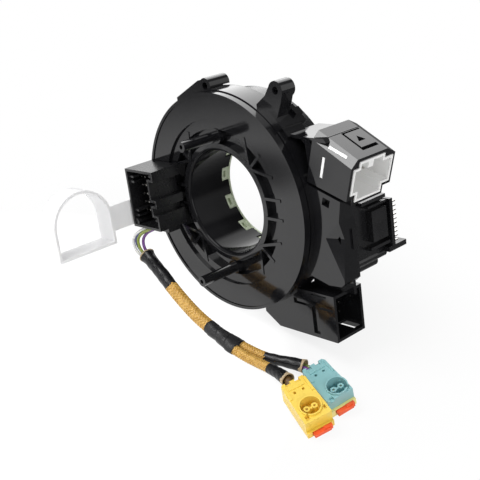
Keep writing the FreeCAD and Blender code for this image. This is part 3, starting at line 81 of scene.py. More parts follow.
class Graph:
    """A small helper for building one material's nodes."""

    def __init__(self, name):
        self.material = bpy.data.materials.new(name)
        self.material.use_nodes = True
        self.tree = self.material.node_tree
        self.shader = self.tree.nodes["Principled BSDF"]
        self.coords = self.tree.nodes.new("ShaderNodeTexCoord")

    def add(self, kind, **values):
        node = self.tree.nodes.new(kind)
        for key, value in values.items():
            if hasattr(node, key):
                setattr(node, key, value)
            else:
                node.inputs[key].default_value = value
        return node

    def link(self, source, output, target, field):
        self.tree.links.new(source.outputs[output], target.inputs[field])

    def set(self, **values):
        for key, value in values.items():
            self.shader.inputs[key.replace("_", " ")].default_value = value

    def noise(self, scale, detail=3.0, roughness=0.5, stretch=(1.0, 1.0, 1.0)):
        """Noise in the object's own metres, stretched along an axis if asked."""
        place = self.add("ShaderNodeMapping")
        place.inputs["Scale"].default_value = stretch
        self.link(self.coords, "Object", place, "Vector")
        node = self.add("ShaderNodeTexNoise")
        node.inputs["Scale"].default_value = scale
        node.inputs["Detail"].default_value = detail
        node.inputs["Roughness"].default_value = roughness
        self.link(place, "Vector", node, "Vector")
        return node

    def spread(self, source, output, low, high, low_in=0.0, high_in=1.0):
        node = self.add("ShaderNodeMapRange")
        node.inputs["From Min"].default_value = low_in
        node.inputs["From Max"].default_value = high_in
        node.inputs["To Min"].default_value = low
        node.inputs["To Max"].default_value = high
        self.link(source, output, node, "Value")
        return node

    def ramp(self, source, output, stops):
        node = self.add("ShaderNodeValToRGB")
        ramp = node.color_ramp
        while len(ramp.elements) < len(stops):
            ramp.elements.new(0.5)
        for element, (place, colour) in zip(ramp.elements, stops):
            element.position = place
            element.color = (*colour, 1.0)
        self.link(source, output, node, "Fac")
        return node

    def bump(self, source, output, distance, strength=1.0, after=None):
        node = self.add("ShaderNodeBump")
        node.inputs["Distance"].default_value = distance
        node.inputs["Strength"].default_value = strength
        self.link(source, output, node, "Height")
        if after is not None:
            self.link(after, "Normal", node, "Normal")
        self.link(node, "Normal", self.shader, "Normal")
        return node


# Painted shade in the bore: the gloss plastic reflects less up to this radius in metres, just outside the
# bore.
BORE_EDGE = 0.0262
BORE_BLEND = 0.0004
BORE_SHADE_SPECULAR = 0.10


def moulded(name, colour, lighter, roughness, grain_size=0.0004, grain_depth=0.000008, wave_depth=0.00004,
            specular=0.5, bore_painted_shade=False):
    """Injection-moulded plastic: fine grain, long soft waves and uneven gloss, with painted shade in the
    bore if asked.
    """
    graph = Graph(name)
    tint = graph.noise(45.0, 4.0)
    colours = graph.ramp(tint, "Fac", [(0.3, colour), (0.75, lighter)])
    graph.link(colours, "Color", graph.shader, "Base Color")
    smear = graph.noise(130.0, 5.0, 0.6)
    gloss = graph.spread(smear, "Fac", roughness * 0.75, roughness * 1.35, 0.3, 0.7)
    graph.link(gloss, "Result", graph.shader, "Roughness")
    wave = graph.noise(38.0, 1.0)
    soft = graph.bump(wave, "Fac", wave_depth)
    grain = graph.noise(1.0 / grain_size, 2.0)
    graph.bump(grain, "Fac", grain_depth, 1.0, soft)
    graph.set(**{"Specular_IOR_Level": specular})
    # Painted shade: reflections are weaker inside the bore radius.
    if bore_painted_shade:
        flat = graph.add("ShaderNodeVectorMath", operation="MULTIPLY")
        flat.inputs[1].default_value = (1.0, 0.0, 1.0)
        graph.link(graph.coords, "Object", flat, 0)
        radius = graph.add("ShaderNodeVectorMath", operation="LENGTH")
        graph.link(flat, "Vector", radius, 0)
        level = graph.spread(radius, "Value", BORE_SHADE_SPECULAR, specular, BORE_EDGE - BORE_BLEND, BORE_EDGE)
        graph.link(level, "Result", graph.shader, "Specular IOR Level")
    return graph.material


def make_materials():
    made = {}
    made["black_gloss"] = moulded("gloss_black", (0.006, 0.006, 0.007), (0.010, 0.010, 0.011), 0.08,
                                  grain_depth=0.000001, wave_depth=0.00002, bore_painted_shade=True)
    made["black_satin"] = moulded("satin_black", (0.007, 0.007, 0.008), (0.013, 0.013, 0.014), 0.26,
                                  grain_depth=0.000006)
    made["white_plastic"] = moulded("socket_white", (0.88, 0.88, 0.87), (0.92, 0.92, 0.91), 0.32)
    made["ring_green"] = moulded("ring_green", (0.68, 0.77, 0.55), (0.76, 0.83, 0.64), 0.35)
    made["gear_white"] = moulded("gear_white", (0.80, 0.80, 0.76), (0.86, 0.86, 0.83), 0.38)
    made["plug_yellow"] = moulded("plug_yellow", (0.87, 0.60, 0.07), (0.90, 0.67, 0.12), 0.30)
    made["shell_yellow"] = moulded("shell_yellow", (0.87, 0.78, 0.27), (0.90, 0.83, 0.36), 0.32)
    made["plug_teal"] = moulded("plug_teal", (0.24, 0.48, 0.50), (0.31, 0.55, 0.57), 0.32)
    made["lock_orange"] = moulded("lock_orange", (0.86, 0.09, 0.018), (0.90, 0.13, 0.03), 0.34)
    made["ribbon"] = moulded("ribbon", (0.42, 0.46, 0.52), (0.50, 0.54, 0.60), 0.3)
    made["board_green"] = moulded("board_green", (0.012, 0.11, 0.035), (0.02, 0.16, 0.05), 0.35)
    made["magnet"] = moulded("magnet", (0.03, 0.03, 0.032), (0.05, 0.05, 0.052), 0.4)
    made["tab_white"] = tab_plastic()
    made["steel"] = metal("steel", (0.50, 0.50, 0.51), (0.62, 0.62, 0.63), 0.28)
    made["tin"] = metal("tin", (0.62, 0.60, 0.56), (0.74, 0.72, 0.68), 0.22)
    made["brass"] = metal("brass", (0.62, 0.43, 0.16), (0.74, 0.55, 0.25), 0.26)
    made["wire_white"] = insulation("wire_white", (0.78, 0.78, 0.76), (0.86, 0.86, 0.84))
    made["wire_blue"] = insulation("wire_blue", (0.015, 0.018, 0.13), (0.03, 0.035, 0.20))
    made["wire_green"] = insulation("wire_green", (0.20, 0.26, 0.03), (0.30, 0.36, 0.06))
    made["wire_purple"] = insulation("wire_purple", (0.16, 0.05, 0.26), (0.26, 0.10, 0.36))
    return made


def metal(name, colour, lighter, roughness):
    """Drawn and plated metal with faint scratches along its length."""
    graph = Graph(name)
    tint = graph.noise(300.0, 3.0)
    colours = graph.ramp(tint, "Fac", [(0.3, colour), (0.7, lighter)])
    graph.link(colours, "Color", graph.shader, "Base Color")
    scratch = graph.noise(900.0, 2.0, 0.5, (1.0, 0.06, 1.0))
    gloss = graph.spread(scratch, "Fac", roughness * 0.7, roughness * 1.4, 0.3, 0.7)
    graph.link(gloss, "Result", graph.shader, "Roughness")
    graph.bump(scratch, "Fac", 0.000004)
    graph.set(Metallic=1.0)
    return graph.material


def insulation(name, colour, lighter):
    """Soft insulation of a wire."""
    graph = Graph(name)
    tint = graph.noise(500.0, 3.0)
    colours = graph.ramp(tint, "Fac", [(0.3, colour), (0.7, lighter)])
    graph.link(colours, "Color", graph.shader, "Base Color")
    graph.set(Roughness=0.36)
    graph.bump(tint, "Fac", 0.00001)
    return graph.material


def tab_plastic():
    """Milky moulded tab that lets a little light through."""
    graph = Graph("tab_white")
    tint = graph.noise(60.0, 3.0)
    colours = graph.ramp(tint, "Fac", [(0.3, (0.90, 0.90, 0.91)), (0.7, (0.94, 0.94, 0.95))])
    graph.link(colours, "Color", graph.shader, "Base Color")
    graph.set(Roughness=0.42, **{"Subsurface_Weight": 0.25})
    graph.shader.inputs["Subsurface Radius"].default_value = (0.004, 0.004, 0.004)
    graph.shader.inputs["Subsurface Scale"].default_value = 1.0
    wave = graph.noise(40.0, 2.0)
    graph.bump(wave, "Fac", 0.00008)
    return graph.material


# Width in metres of the rounding of a node's edges.
FINE_EDGE = 0.00022
THIN_EDGE = 0.00006
THIN_NODES = ("flat_cable", "header_pins", "white_socket_pins", "lower_socket_pins", "rotor_terminals")
EDGES = {
    "rotor": 0.00045, "stator_housing": 0.00035, "rotor_connector": 0.00022, "lock_tab": 0.00025,
    "sensor_header": 0.00035, "white_socket": 0.00018, "yellow_plug": 0.00025, "teal_plug": 0.00025,
    "yellow_shell": 0.00035, "teal_shell": 0.00035, "yellow_lock": 0.0002, "teal_lock": 0.0002,
}
# Nodes whose flat faces are joined before their edges are rounded.
MERGED = ("rotor", "lock_tab", "rotor_connector", "yellow_plug", "teal_plug", "white_socket",
          "stator_housing")


def dress_nodes(made):
    """Gives every CAD node its finish, rounded edges and smooth round faces."""
    slots = {part["node"]: part["material_slot"] for part in frame["record"]["subparts"]}
    for name, node in nodes.items():
        slot = slots[name]
        node.data.materials.clear()
        node.data.materials.append(made.get(slot, made["black_satin"]))
        node.data.shade_smooth()
        width = THIN_EDGE if name in THIN_NODES else EDGES.get(name, FINE_EDGE)
        if name in MERGED:
            merge = node.modifiers.new("flat_faces", "DECIMATE")
            merge.decimate_type = "DISSOLVE"
            merge.angle_limit = math.radians(0.6)
        bevel = node.modifiers.new("edges", "BEVEL")
        bevel.width = width
        bevel.segments = 2
        bevel.limit_method = "ANGLE"
        bevel.angle_limit = math.radians(34)
        bevel.use_clamp_overlap = True
        bevel.harden_normals = True


# Cord routes in millimetres, before the origin's shift. They follow the routes of the part's source, and
# some points are given one by one, up to a few millimetres away.
ORIGIN_DEPTH = 4.0
WIRES = {
    "wire_white": [
        (-35.7, -14.7, -24.7), (-41.0, -14.7, -29.3), (-45.2, -15.3, -33.8), (-46.3, -15.6, -38.2),
        (-43.6, -15.8, -41.8), (-39.2, -15.85, -42.8), (-33.5, -16.0, -42.8), (-26.5, -16.9, -43.6),
    ],
    "wire_blue": [
        (-33.8, -13.1, -24.1), (-39.0, -14.2, -28.6), (-43.1, -14.9, -33.0), (-44.6, -15.1, -37.3),
        (-42.4, -14.4, -41.0), (-38.4, -14.1, -42.6), (-33.0, -14.4, -42.6), (-26.4, -15.3, -43.5),
    ],
    "wire_green": [
        (-31.9, -15.2, -23.5), (-36.7, -15.2, -27.4), (-40.9, -15.3, -31.4), (-42.6, -15.6, -35.6),
        (-40.4, -15.8, -39.2), (-36.4, -15.9, -40.6), (-31.5, -16.3, -41.0), (-26.4, -17.0, -41.9),
    ],
    "wire_purple": [
        (-30.0, -13.1, -22.9), (-34.6, -13.3, -26.6), (-38.8, -13.3, -30.6), (-41.0, -13.5, -35.0),
        (-39.4, -13.9, -39.0), (-35.6, -14.1, -40.6), (-31.0, -14.6, -41.0), (-26.4, -15.3, -42.0),
    ],
}
SLEEVE = [(-35.1, -15.0, -41.3), (-24.0, -16.5, -43.1), (-12.2, -18.5, -45.3)]
BRAID = [(-12.2, -18.5, -45.3), (-4.2, -19.6, -46.8), (3.8, -20.4, -48.2), (11.8, -21.2, -49.0),
         (19.8, -21.8, -49.1)]
TAPE = [(19.8, -21.8, -49.1), (26.8, -22.2, -49.2), (34.0, -21.8, -49.1)]
YELLOW = [(34.0, -24.2, -49.4), (44.0, -23.2, -49.8), (54.6, -22.4, -48.5), (63.4, -23.2, -45.8),
          (68.6, -24.3, -44.3)]
YELLOW_MOUTH = (72.8, -25.2, -43.5)
YELLOW_END = (76.4, -26.0, -43.75)
TEAL = [(34.0, -20.0, -49.4), (42.0, -18.3, -49.9), (50.6, -16.6, -49.7), (58.6, -13.4, -48.5)]
TEAL_MOUTH = [(63.6, -11.4, -47.5), (68.6, -10.0, -46.6)]
TEAL_CORE_END = (64.6, -11.1, -47.3)
TEAL_LEADS = [
    [(61.0, -12.4, -48.0), (66.0, -11.6, -47.1), (70.0, -10.9, -46.4), (73.4, -10.5, -46.0)],
    [(61.0, -11.0, -48.0), (66.0, -9.8, -47.1), (70.0, -8.9, -46.5), (73.9, -8.2, -46.1)],
]
WIRE_RADIUS = 0.75 * MM
TRUNK_RADIUS = 3.2 * MM
TRUNK_CORE_RADIUS = 2.7 * MM
BRANCH_CORE_RADIUS = 1.8 * MM
LEAD_RADIUS = 0.8 * MM
# Spacing of the rings of the modelled tubes and strands.
RING_STEP = 0.3 * MM
# Strands each way, length of a full turn, width and thickness of a strand, and radius of the braid.
TRUNK_WEAVE = {"carriers": 8, "pitch": 15.0 * MM, "width": 1.42 * MM, "thickness": 0.46 * MM,
               "radius": 2.85 * MM}
BRANCH_WEAVE = {"carriers": 8, "pitch": 11.0 * MM, "width": 1.00 * MM, "thickness": 0.38 * MM,
                "radius": 1.98 * MM}


def placed(route):
    """A route in the row frame, in metres."""
    return [Vector((x, y - ORIGIN_DEPTH, z)) * MM for x, y, z in route]


def smooth_curve(name, route, radius=0.0):
    """A smooth curve along a route, round if it has a radius."""
    data = bpy.data.curves.new(name, "CURVE")
    data.dimensions = "3D"
    spline = data.splines.new("NURBS")
    spline.points.add(len(route) - 1)
    for point, place in zip(spline.points, placed(route)):
        point.co = (*place, 1.0)
    spline.order_u = 3
    spline.use_endpoint_u = True
    data.resolution_u = 16
    data.bevel_depth = radius
    data.bevel_resolution = 6
    data.use_fill_caps = radius > 0
    curve = bpy.data.objects.new(name, data)
    bpy.context.scene.collection.objects.link(curve)
    return curve


def curve_points(route):
    """Points along the route's own smooth spline."""
    guide = smooth_curve("guide", route)
    mesh = bpy.data.meshes.new_from_object(guide)
    points = [vertex.co.copy() for vertex in mesh.vertices]
    data = guide.data
    bpy.data.objects.remove(guide)
    bpy.data.curves.remove(data)
    bpy.data.meshes.remove(mesh)
    return points


def resample(points, step):
    """Evenly spaced points and directions along a line of points."""
    lengths = [0.0]
    for before, after in zip(points, points[1:]):
        lengths.append(lengths[-1] + (after - before).length)
    count = max(2, round(lengths[-1] / step))
    places = []
    index = 0
    for number in range(count + 1):
        wanted = lengths[-1] * number / count
        while index < len(lengths) - 2 and lengths[index + 1] < wanted:
            index += 1
        share = (wanted - lengths[index]) / max(lengths[index + 1] - lengths[index], 1e-9)
        places.append(points[index].lerp(points[index + 1], share))
    frames = []
    side = Vector((0, 0, 1))
    for number, place in enumerate(places):
        ahead = places[min(number + 1, count)]
        behind = places[max(number - 1, 0)]
        heading = (ahead - behind).normalized()
        side = (side - heading * side.dot(heading)).normalized()
        frames.append((place, heading, side, heading.cross(side)))
    return frames, lengths[-1]


def mesh_object(name, points, faces, material, smooth=True):
    """A mesh piece with one material."""
    mesh = bpy.data.meshes.new(name)
    mesh.from_pydata([tuple(point) for point in points], [], faces)
    mesh.update()
    piece = bpy.data.objects.new(name, mesh)
    bpy.context.scene.collection.objects.link(piece)
    mesh.materials.append(material)
    if smooth:
        mesh.shade_smooth()
    return piece


def tube_mesh(name, frames, radius_at, material, sides=40, inner_at=None):
    """A tube round the frames. radius_at(share, turn) gives its radius; inner_at makes it hollow."""
    points = []
    faces = []
    count = len(frames)

    def rings(shape):
        start = len(points)
        for number, (place, heading, side, over) in enumerate(frames):
            for step in range(sides):
                turn = 2 * math.pi * step / sides
                radius = shape(number / (count - 1), turn)
                points.append(place + (side * math.cos(turn) + over * math.sin(turn)) * radius)
        return start

    def skin(start, flip):
        for number in range(count - 1):
            for step in range(sides):
                after = (step + 1) % sides
                a = start + number * sides + step
                b = start + number * sides + after
                c = start + (number + 1) * sides + after
                e = start + (number + 1) * sides + step
                faces.append((a, e, c, b) if flip else (a, b, c, e))

    outer = rings(radius_at)
    skin(outer, False)
    if inner_at is not None:
        inner = rings(inner_at)
        skin(inner, True)
        for end, flip in ((0, True), (count - 1, False)):
            for step in range(sides):
                after = (step + 1) % sides
                a = outer + end * sides + step
                b = outer + end * sides + after
                c = inner + end * sides + after
                e = inner + end * sides + step
                faces.append((a, e, c, b) if flip else (a, b, c, e))
    else:
        faces.append(tuple(outer + step for step in reversed(range(sides))))
        faces.append(tuple(outer + (count - 1) * sides + step for step in range(sides)))
    return mesh_object(name, points, faces, material)


def braid_strands(name, frames, weave, material):
    """Flat strands that wind both ways and pass over and under each other, two by two."""
    carriers, pitch, radius = weave["carriers"], weave["pitch"], weave["radius"]
    width, thickness = weave["width"], weave["thickness"]
    points = []
    faces = []
    length = sum((b[0] - a[0]).length for a, b in zip(frames, frames[1:]))
    step_length = length / (len(frames) - 1)
    for hand in (1, -1):
        for carrier in range(carriers):
            start = len(points)
            for number, (place, heading, side, over) in enumerate(frames):
                along = number * step_length
                turn = hand * 2 * math.pi * along / pitch + 2 * math.pi * carrier / carriers
                crossing = 2 * carriers * along / pitch
                phase = math.pi * carrier + hand * math.pi * crossing / 2 - math.pi / 4
                lift = 0.5 * thickness * math.cos(phase) * hand
                outward = side * math.cos(turn) + over * math.sin(turn)
                around = (over * math.cos(turn) - side * math.sin(turn)) * hand
                slope = 2 * math.pi * radius / pitch
                run = (heading + around * slope).normalized()
                across = outward.cross(run).normalized()
                middle = place + outward * (radius + lift)
                crown = outward * thickness * 0.5
                for share, rise in ((-0.5, 0.0), (-0.2, 1.0), (0.2, 1.0), (0.5, 0.0)):
                    bend = outward * (-(share * width) ** 2 / (2 * radius))
                    points.append(middle + across * width * share + bend + crown * rise)
            for number in range(len(frames) - 1):
                for lane in range(3):
                    a = start + number * 4 + lane
                    faces.append((a, a + 1, a + 5, a + 4))
    return mesh_object(name, points, faces, material)


def cloth_tape():
    """Black tape: dull, with a fine weave and soft creases."""
    graph = Graph("tape_black")
    tint = graph.noise(220.0, 4.0)
    colours = graph.ramp(tint, "Fac", [(0.3, (0.006, 0.006, 0.007)), (0.75, (0.014, 0.014, 0.015))])
    graph.link(colours, "Color", graph.shader, "Base Color")
    gloss = graph.spread(tint, "Fac", 0.30, 0.50, 0.3, 0.7)
    graph.link(gloss, "Result", graph.shader, "Roughness")
    crease = graph.noise(260.0, 3.0)
    soft = graph.bump(crease, "Fac", 0.00025)
    weave = graph.noise(3600.0, 1.0)
    graph.bump(weave, "Fac", 0.00002, 1.0, soft)
    graph.set(**{"Sheen_Weight": 0.04, "Specular_IOR_Level": 0.3})
    return graph.material


def woven_gold(name, colour, lighter):
    """Varnished glass-fibre strands: warm, a little shiny, with fine threads."""
    graph = Graph(name)
    tint = graph.noise(420.0, 5.0, 0.6)
    colours = graph.ramp(tint, "Fac", [(0.3, colour), (0.72, lighter)])
    graph.link(colours, "Color", graph.shader, "Base Color")
    gloss = graph.spread(tint, "Fac", 0.34, 0.55, 0.3, 0.7)
    graph.link(gloss, "Result", graph.shader, "Roughness")
    thread = graph.noise(5200.0, 1.0)
    graph.bump(thread, "Fac", 0.00003)
    return graph.material


def make_cord_materials(made):
    made["sleeve_black"] = moulded("sleeve_black", (0.006, 0.006, 0.007), (0.012, 0.012, 0.013), 0.30,
                                   grain_depth=0.00001, wave_depth=0.0001, specular=0.28)
    made["lining"] = moulded("lining_tan", (0.42, 0.31, 0.18), (0.55, 0.43, 0.28), 0.6)
    made["tape_black"] = cloth_tape()
    made["braid_gold"] = woven_gold("braid_gold", (0.46, 0.24, 0.035), (0.72, 0.45, 0.12))
    # Painted shade: the core under the strands is a much darker copy of the gold, for the shade in the
    # gaps of the braid.
    made["braid_core_painted_shade"] = woven_gold("braid_core_painted_shade", (0.10, 0.05, 0.012), (0.16, 0.09, 0.03))
    made["lead_purple"] = insulation("lead_purple", (0.16, 0.05, 0.26), (0.26, 0.10, 0.36))
    made["lead_green"] = insulation("lead_green", (0.22, 0.30, 0.08), (0.32, 0.40, 0.14))


def part_of(frames, start, end):
    """The frames between two shares of a line."""
    last = len(frames) - 1
    return frames[round(start * last):round(end * last) + 1]


def curve_with(name, route, radius, material):
    curve = smooth_curve(name, route, radius)
    curve.data.materials.append(material)
    return curve


def line_length(route):
    points = curve_points(route)
    return sum((b - a).length for a, b in zip(points, points[1:]))


def dress(piece, slot, *replaced):
    """Lets a piece of the harness ride on the rotor and hides the nodes that it stands for; the slot is
    not used.
    """
    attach(piece, "rotor")
    if replaced:
        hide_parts(*replaced)
    return piece


def make_wires(made):
    """The four wires from the disc's connector into the sleeve."""
    for name, route in WIRES.items():
        wire = curve_with(name + "_lead", route, WIRE_RADIUS, made[name])
        dress(wire, name, name)
        line_length(route)


def wrapped(radius, length, wrap, ridge, wide):
    """The radius of a tube wound with tape, which widens to an oval towards its far end."""
    def shape(share, turn):
        lap = (share * length / wrap - turn / (2 * math.pi)) % 1.0
        edge = ridge * (1.0 - lap) + 0.35 * ridge * math.sin(2 * math.pi * 3 * share + 2 * turn)
        grown = max(0.0, min(1.0, (share - 0.35) / 0.55))
        grown = grown * grown * (3 - 2 * grown)
        tall = radius + (wide[0] - radius) * grown
        broad = radius + (wide[1] - radius) * grown
        return tall * broad / math.hypot(broad * math.cos(turn), tall * math.sin(turn)) + edge
    return shape


def creased(radius, length, ripple, flare, flare_length):
    """A soft sleeve with shallow creases, opened out at its first end."""
    def shape(share, turn):
        along = share * length
        crease = (math.sin(along / (1.7 * MM) + 2 * turn) + math.sin(along / (0.9 * MM) - 3 * turn + 1.0)
                  + 0.7 * math.sin(along / (2.6 * MM) + 5 * turn))
        opened = max(0.0, 1.0 - along / flare_length)
        return radius + ripple * crease * 0.4 + flare * opened * opened
    return shape


def flared(near, far):
    """A radius that grows from near to far."""
    def shape(share, turn):
        return near + (far - near) * share ** 1.4
    return shape


def shift_mesh(piece, step):
    """Moves a piece's points along a vector."""
    for vertex in piece.data.vertices:
        vertex.co += step


def make_trunk(made):
    """The common harness: an open sleeve, a braid, and tape wound over the fork."""
    route = [(-26.5, -16.15, -42.7), (-19.0, -17.3, -44.1)] + [SLEEVE[-1]] + BRAID[1:] + TAPE[1:]
    core = curve_with("trunk_core", route, TRUNK_CORE_RADIUS, made["braid_core_painted_shade"])
    whole = SLEEVE + BRAID[1:] + TAPE[1:]
    frames, length = resample(curve_points(whole), RING_STEP)
    sleeve_end = 24.6 * MM / length
    braid_end = 57.0 * MM / length
    sleeve_length = sleeve_end * length
    sleeve = tube_mesh("trunk_sleeve", part_of(frames, 0.0, sleeve_end),
                       creased(TRUNK_RADIUS, sleeve_length, 0.12 * MM, 0.75 * MM, 5.0 * MM),
                       made["sleeve_black"], sides=56,
                       inner_at=creased(2.8 * MM, sleeve_length, 0.05 * MM, 0.75 * MM, 5.0 * MM))
    mouth_length = 3.2 * MM
    lining = tube_mesh("trunk_sleeve_lining", part_of(frames, 0.0, mouth_length / length),
                       creased(3.22 * MM, mouth_length, 0.03 * MM, 0.95 * MM, 3.2 * MM), made["lining"],
                       inner_at=creased(2.78 * MM, mouth_length, 0.03 * MM, 0.8 * MM, 3.2 * MM))
    shift_mesh(lining, -frames[0][1] * 0.55 * MM)
    braid = braid_strands("trunk_braid", part_of(frames, sleeve_end - 0.01, braid_end + 0.01), TRUNK_WEAVE,
                          made["braid_gold"])
    over = curve_points(TAPE[:2] + [(34.0, -22.0, -49.2), (39.0, -21.6, -49.4)])
    tape_frames, tape_length = resample(over, RING_STEP)
    tape = tube_mesh("trunk_tape", tape_frames,
                     wrapped(3.3 * MM, tape_length, 6.5 * MM, 0.2 * MM, (3.0 * MM, 4.9 * MM)),
                     made["tape_black"], sides=64)
    dress(core, "braid_gold", "harness_braid")
    dress(sleeve, "sleeve_black", "harness_sleeve")
    dress(tape, "tape_black", "harness_tape")
    dress(lining, "sleeve_black")
    dress(braid, "braid_gold")
    line_length(route)


def make_yellow_branch(made):
    """The branch to the yellow plug: a braid, then a black sleeve with an open mouth."""
    whole = YELLOW + [YELLOW_MOUTH, YELLOW_END]
    core = curve_with("yellow_branch_core", whole, BRANCH_CORE_RADIUS, made["braid_core_painted_shade"])
    frames, length = resample(curve_points(YELLOW + [YELLOW_MOUTH]), RING_STEP)
    sleeve_start = 26.5 * MM / length
    braid = braid_strands("yellow_branch_braid", part_of(frames, 0.08, sleeve_start + 0.02), BRANCH_WEAVE,
                          made["braid_gold"])
    sleeve = tube_mesh("yellow_branch_sleeve", part_of(frames, sleeve_start, 1.0),
                       opened_sleeve(2.4 * MM, 3.0 * MM, 0.1 * MM), made["sleeve_black"],
                       inner_at=opened_sleeve(2.15 * MM, 2.75 * MM, 0.03 * MM))
    lining = tube_mesh("yellow_branch_lining", part_of(frames, 0.92, 1.0), flared(2.75 * MM, 3.25 * MM),
                       made["lining"], inner_at=flared(2.4 * MM, 2.75 * MM))
    shift_mesh(lining, frames[-1][1] * 0.5 * MM)
    dress(core, "braid_gold", "branch_yellow")
    dress(sleeve, "sleeve_black", "sleeve_yellow")
    dress(braid, "braid_gold")
    dress(lining, "sleeve_black")
    line_length(whole)


def opened_sleeve(near, far, ripple):
    """A creased sleeve that widens towards its far end."""
    def shape(share, turn):
        crease = math.sin(14 * share + 2 * turn) + math.sin(23 * share - 3 * turn + 1.0)
        return near + (far - near) * share ** 1.6 + ripple * 0.5 * crease
    return shape


def make_teal_branch(made):
    """The branch to the teal plug, whose last leads lie open."""
    route = TEAL + [TEAL_CORE_END]
    core = curve_with("teal_branch_core", route, BRANCH_CORE_RADIUS, made["braid_core_painted_shade"])
    frames, length = resample(curve_points(TEAL + TEAL_MOUTH), RING_STEP)
    sleeve_start = 17.5 * MM / length
    braid = braid_strands("teal_branch_braid", part_of(frames, 0.08, sleeve_start + 0.02), BRANCH_WEAVE,
                          made["braid_gold"])
    cone = tube_mesh("teal_branch_sleeve", part_of(frames, sleeve_start, 1.0),
                     opened_sleeve(2.3 * MM, 3.0 * MM, 0.1 * MM), made["sleeve_black"],
                     inner_at=opened_sleeve(2.1 * MM, 2.75 * MM, 0.03 * MM))
    lining = tube_mesh("teal_branch_lining", part_of(frames, 0.92, 1.0), flared(2.75 * MM, 3.2 * MM),
                       made["lining"], inner_at=flared(2.4 * MM, 2.75 * MM))
    shift_mesh(lining, frames[-1][1] * 0.5 * MM)
    leads = [
        curve_with("teal_lead_low", TEAL_LEADS[0], LEAD_RADIUS, made["lead_purple"]),
        curve_with("teal_lead_high", TEAL_LEADS[1], LEAD_RADIUS, made["lead_green"]),
    ]
    dress(core, "tape_black", "branch_teal")
    dress(cone, "sleeve_black", "sleeve_teal")
    dress(braid, "braid_gold")
    dress(lining, "sleeve_black")
    dress(leads[0], "wire_purple", "teal_leads")
    dress(leads[1], "wire_green")
    line_length(route)


def slab(name, near, far, across, deep, material):
    """A thin bar from near to far, with its width and its depth given as vectors, in millimetres."""
    near, far, across, deep = (Vector(value) for value in (near, far, across, deep))
    points = []
    for end in (near, far):
        for side, under in ((-0.5, 0.0), (0.5, 0.0), (0.5, 1.0), (-0.5, 1.0)):
            points.append((end + across * side + deep * under) * MM)
    faces = [(0, 1, 2, 3), (7, 6, 5, 4), (0, 4, 5, 1), (1, 5, 6, 2), (2, 6, 7, 3), (3, 7, 4, 0)]
    piece = mesh_object(name, points, faces, material, smooth=False)
    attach(piece, "stator")
    return piece


def make_insert_marks(made):
    """The white insert, seen through the slot and the gap in the shroud."""
    slab("insert_in_slot", (51.1, 1.2, 34.15), (51.1, 1.2, 43.55), (1.36, 0.0, 0.0), (0.0, 1.05, 0.0),
         made["white_plastic"])
    slab("insert_in_gap", (52.3, 1.96, 48.56), (61.5, 2.68, 47.36), (0.0, 0.82, 0.87), (0.0, 0.44, -0.41),
         made["white_plastic"])


# The floor's glow in reflections, in metres and strengths: bright in front of the part, with painted shade
# behind it.
GLOW_CENTRE = (-0.02, -0.10, 0.0)
GLOW_REACH = (0.08, 0.22)
GLOW_LEVELS = (1.25, 0.16)
# A painted dark reflection in that glow, which the top of the disc mirrors.
PAINTED_DARK_PATCH_CENTRE = (-0.088, -0.118, 0.0)
PAINTED_DARK_PATCH_REACH = (0.008, 0.046)
PAINTED_DARK_PATCH_LEVELS = (0.22, 1.0)
# How much of the floor is plain white to the camera, near the part and away from it.
PLAIN_REACH = (0.05, 0.14)
PLAIN_SHARES = (0.80, 1.0)
# Soft panels of the studio: the way to each, its half angle in degrees and its brightness.
PANELS = (
    ((-0.66, 0.62, 0.43), 24, 3.0),
    ((-0.55, -0.75, 0.55), 26, 1.2),
    ((0.80, -0.55, 0.35), 24, 0.9),
    ((0.60, 0.70, 0.45), 20, 0.9),
    ((0.0, 0.0, 1.0), 30, 0.9),
)
# The soft rim of a panel, in degrees outside and inside its half angle.
PANEL_RIM = (9, 4)
WALL_GLOW = 0.16
DIM_WORLD = 0.35


def math_node(tree, operation, first, second):
    """The output of a math node on an output and another output or a number."""
    node = tree.nodes.new("ShaderNodeMath")
    node.operation = operation
    for field, value in zip(node.inputs, (first, second)):
        if isinstance(value, float):
            field.default_value = value
        else:
            tree.links.new(value, field)
    return node.outputs[0]


def vector_node(tree, operation, vector, other=None):
    """The output value of a vector math node."""
    node = tree.nodes.new("ShaderNodeVectorMath")
    node.operation = operation
    tree.links.new(vector, node.inputs[0])
    if other is not None:
        node.inputs[1].default_value = other
    return node.outputs["Value"]


def range_node(tree, value, reach, levels, smooth=True):
    """Maps a value from reach to levels, softly if asked."""
    node = tree.nodes.new("ShaderNodeMapRange")
    node.interpolation_type = "SMOOTHSTEP" if smooth else "LINEAR"
    node.inputs["From Min"].default_value, node.inputs["From Max"].default_value = reach
    node.inputs["To Min"].default_value, node.inputs["To Max"].default_value = levels
    tree.links.new(value, node.inputs["Value"])
    return node.outputs["Result"]


def mixed_output(tree, kind, share, first, second):
    """Shows first where share is 0 and second where it is 1."""
    both = tree.nodes.new("ShaderNodeMixShader")
    tree.links.new(share, both.inputs["Fac"])
    tree.links.new(first.outputs[0], both.inputs[1])
    tree.links.new(second.outputs[0], both.inputs[2])
    tree.links.new(both.outputs[0], tree.nodes.new(kind).inputs["Surface"])


def light_node(tree, kind, colour, strength=None):
    node = tree.nodes.new(kind)
    node.inputs["Color"].default_value = colour
    if strength is not None:
        node.inputs["Strength"].default_value = strength
    return node


def camera_ray(tree):
    path = tree.nodes.new("ShaderNodeLightPath")
    return path.outputs["Is Camera Ray"]


def seen_rays(tree):
    """1 for rays from the camera, off a mirror or through glass."""
    path = tree.nodes.new("ShaderNodeLightPath")
    either = math_node(tree, "MAXIMUM", path.outputs["Is Camera Ray"], path.outputs["Is Glossy Ray"])
    return math_node(tree, "MAXIMUM", either, path.outputs["Is Transmission Ray"])


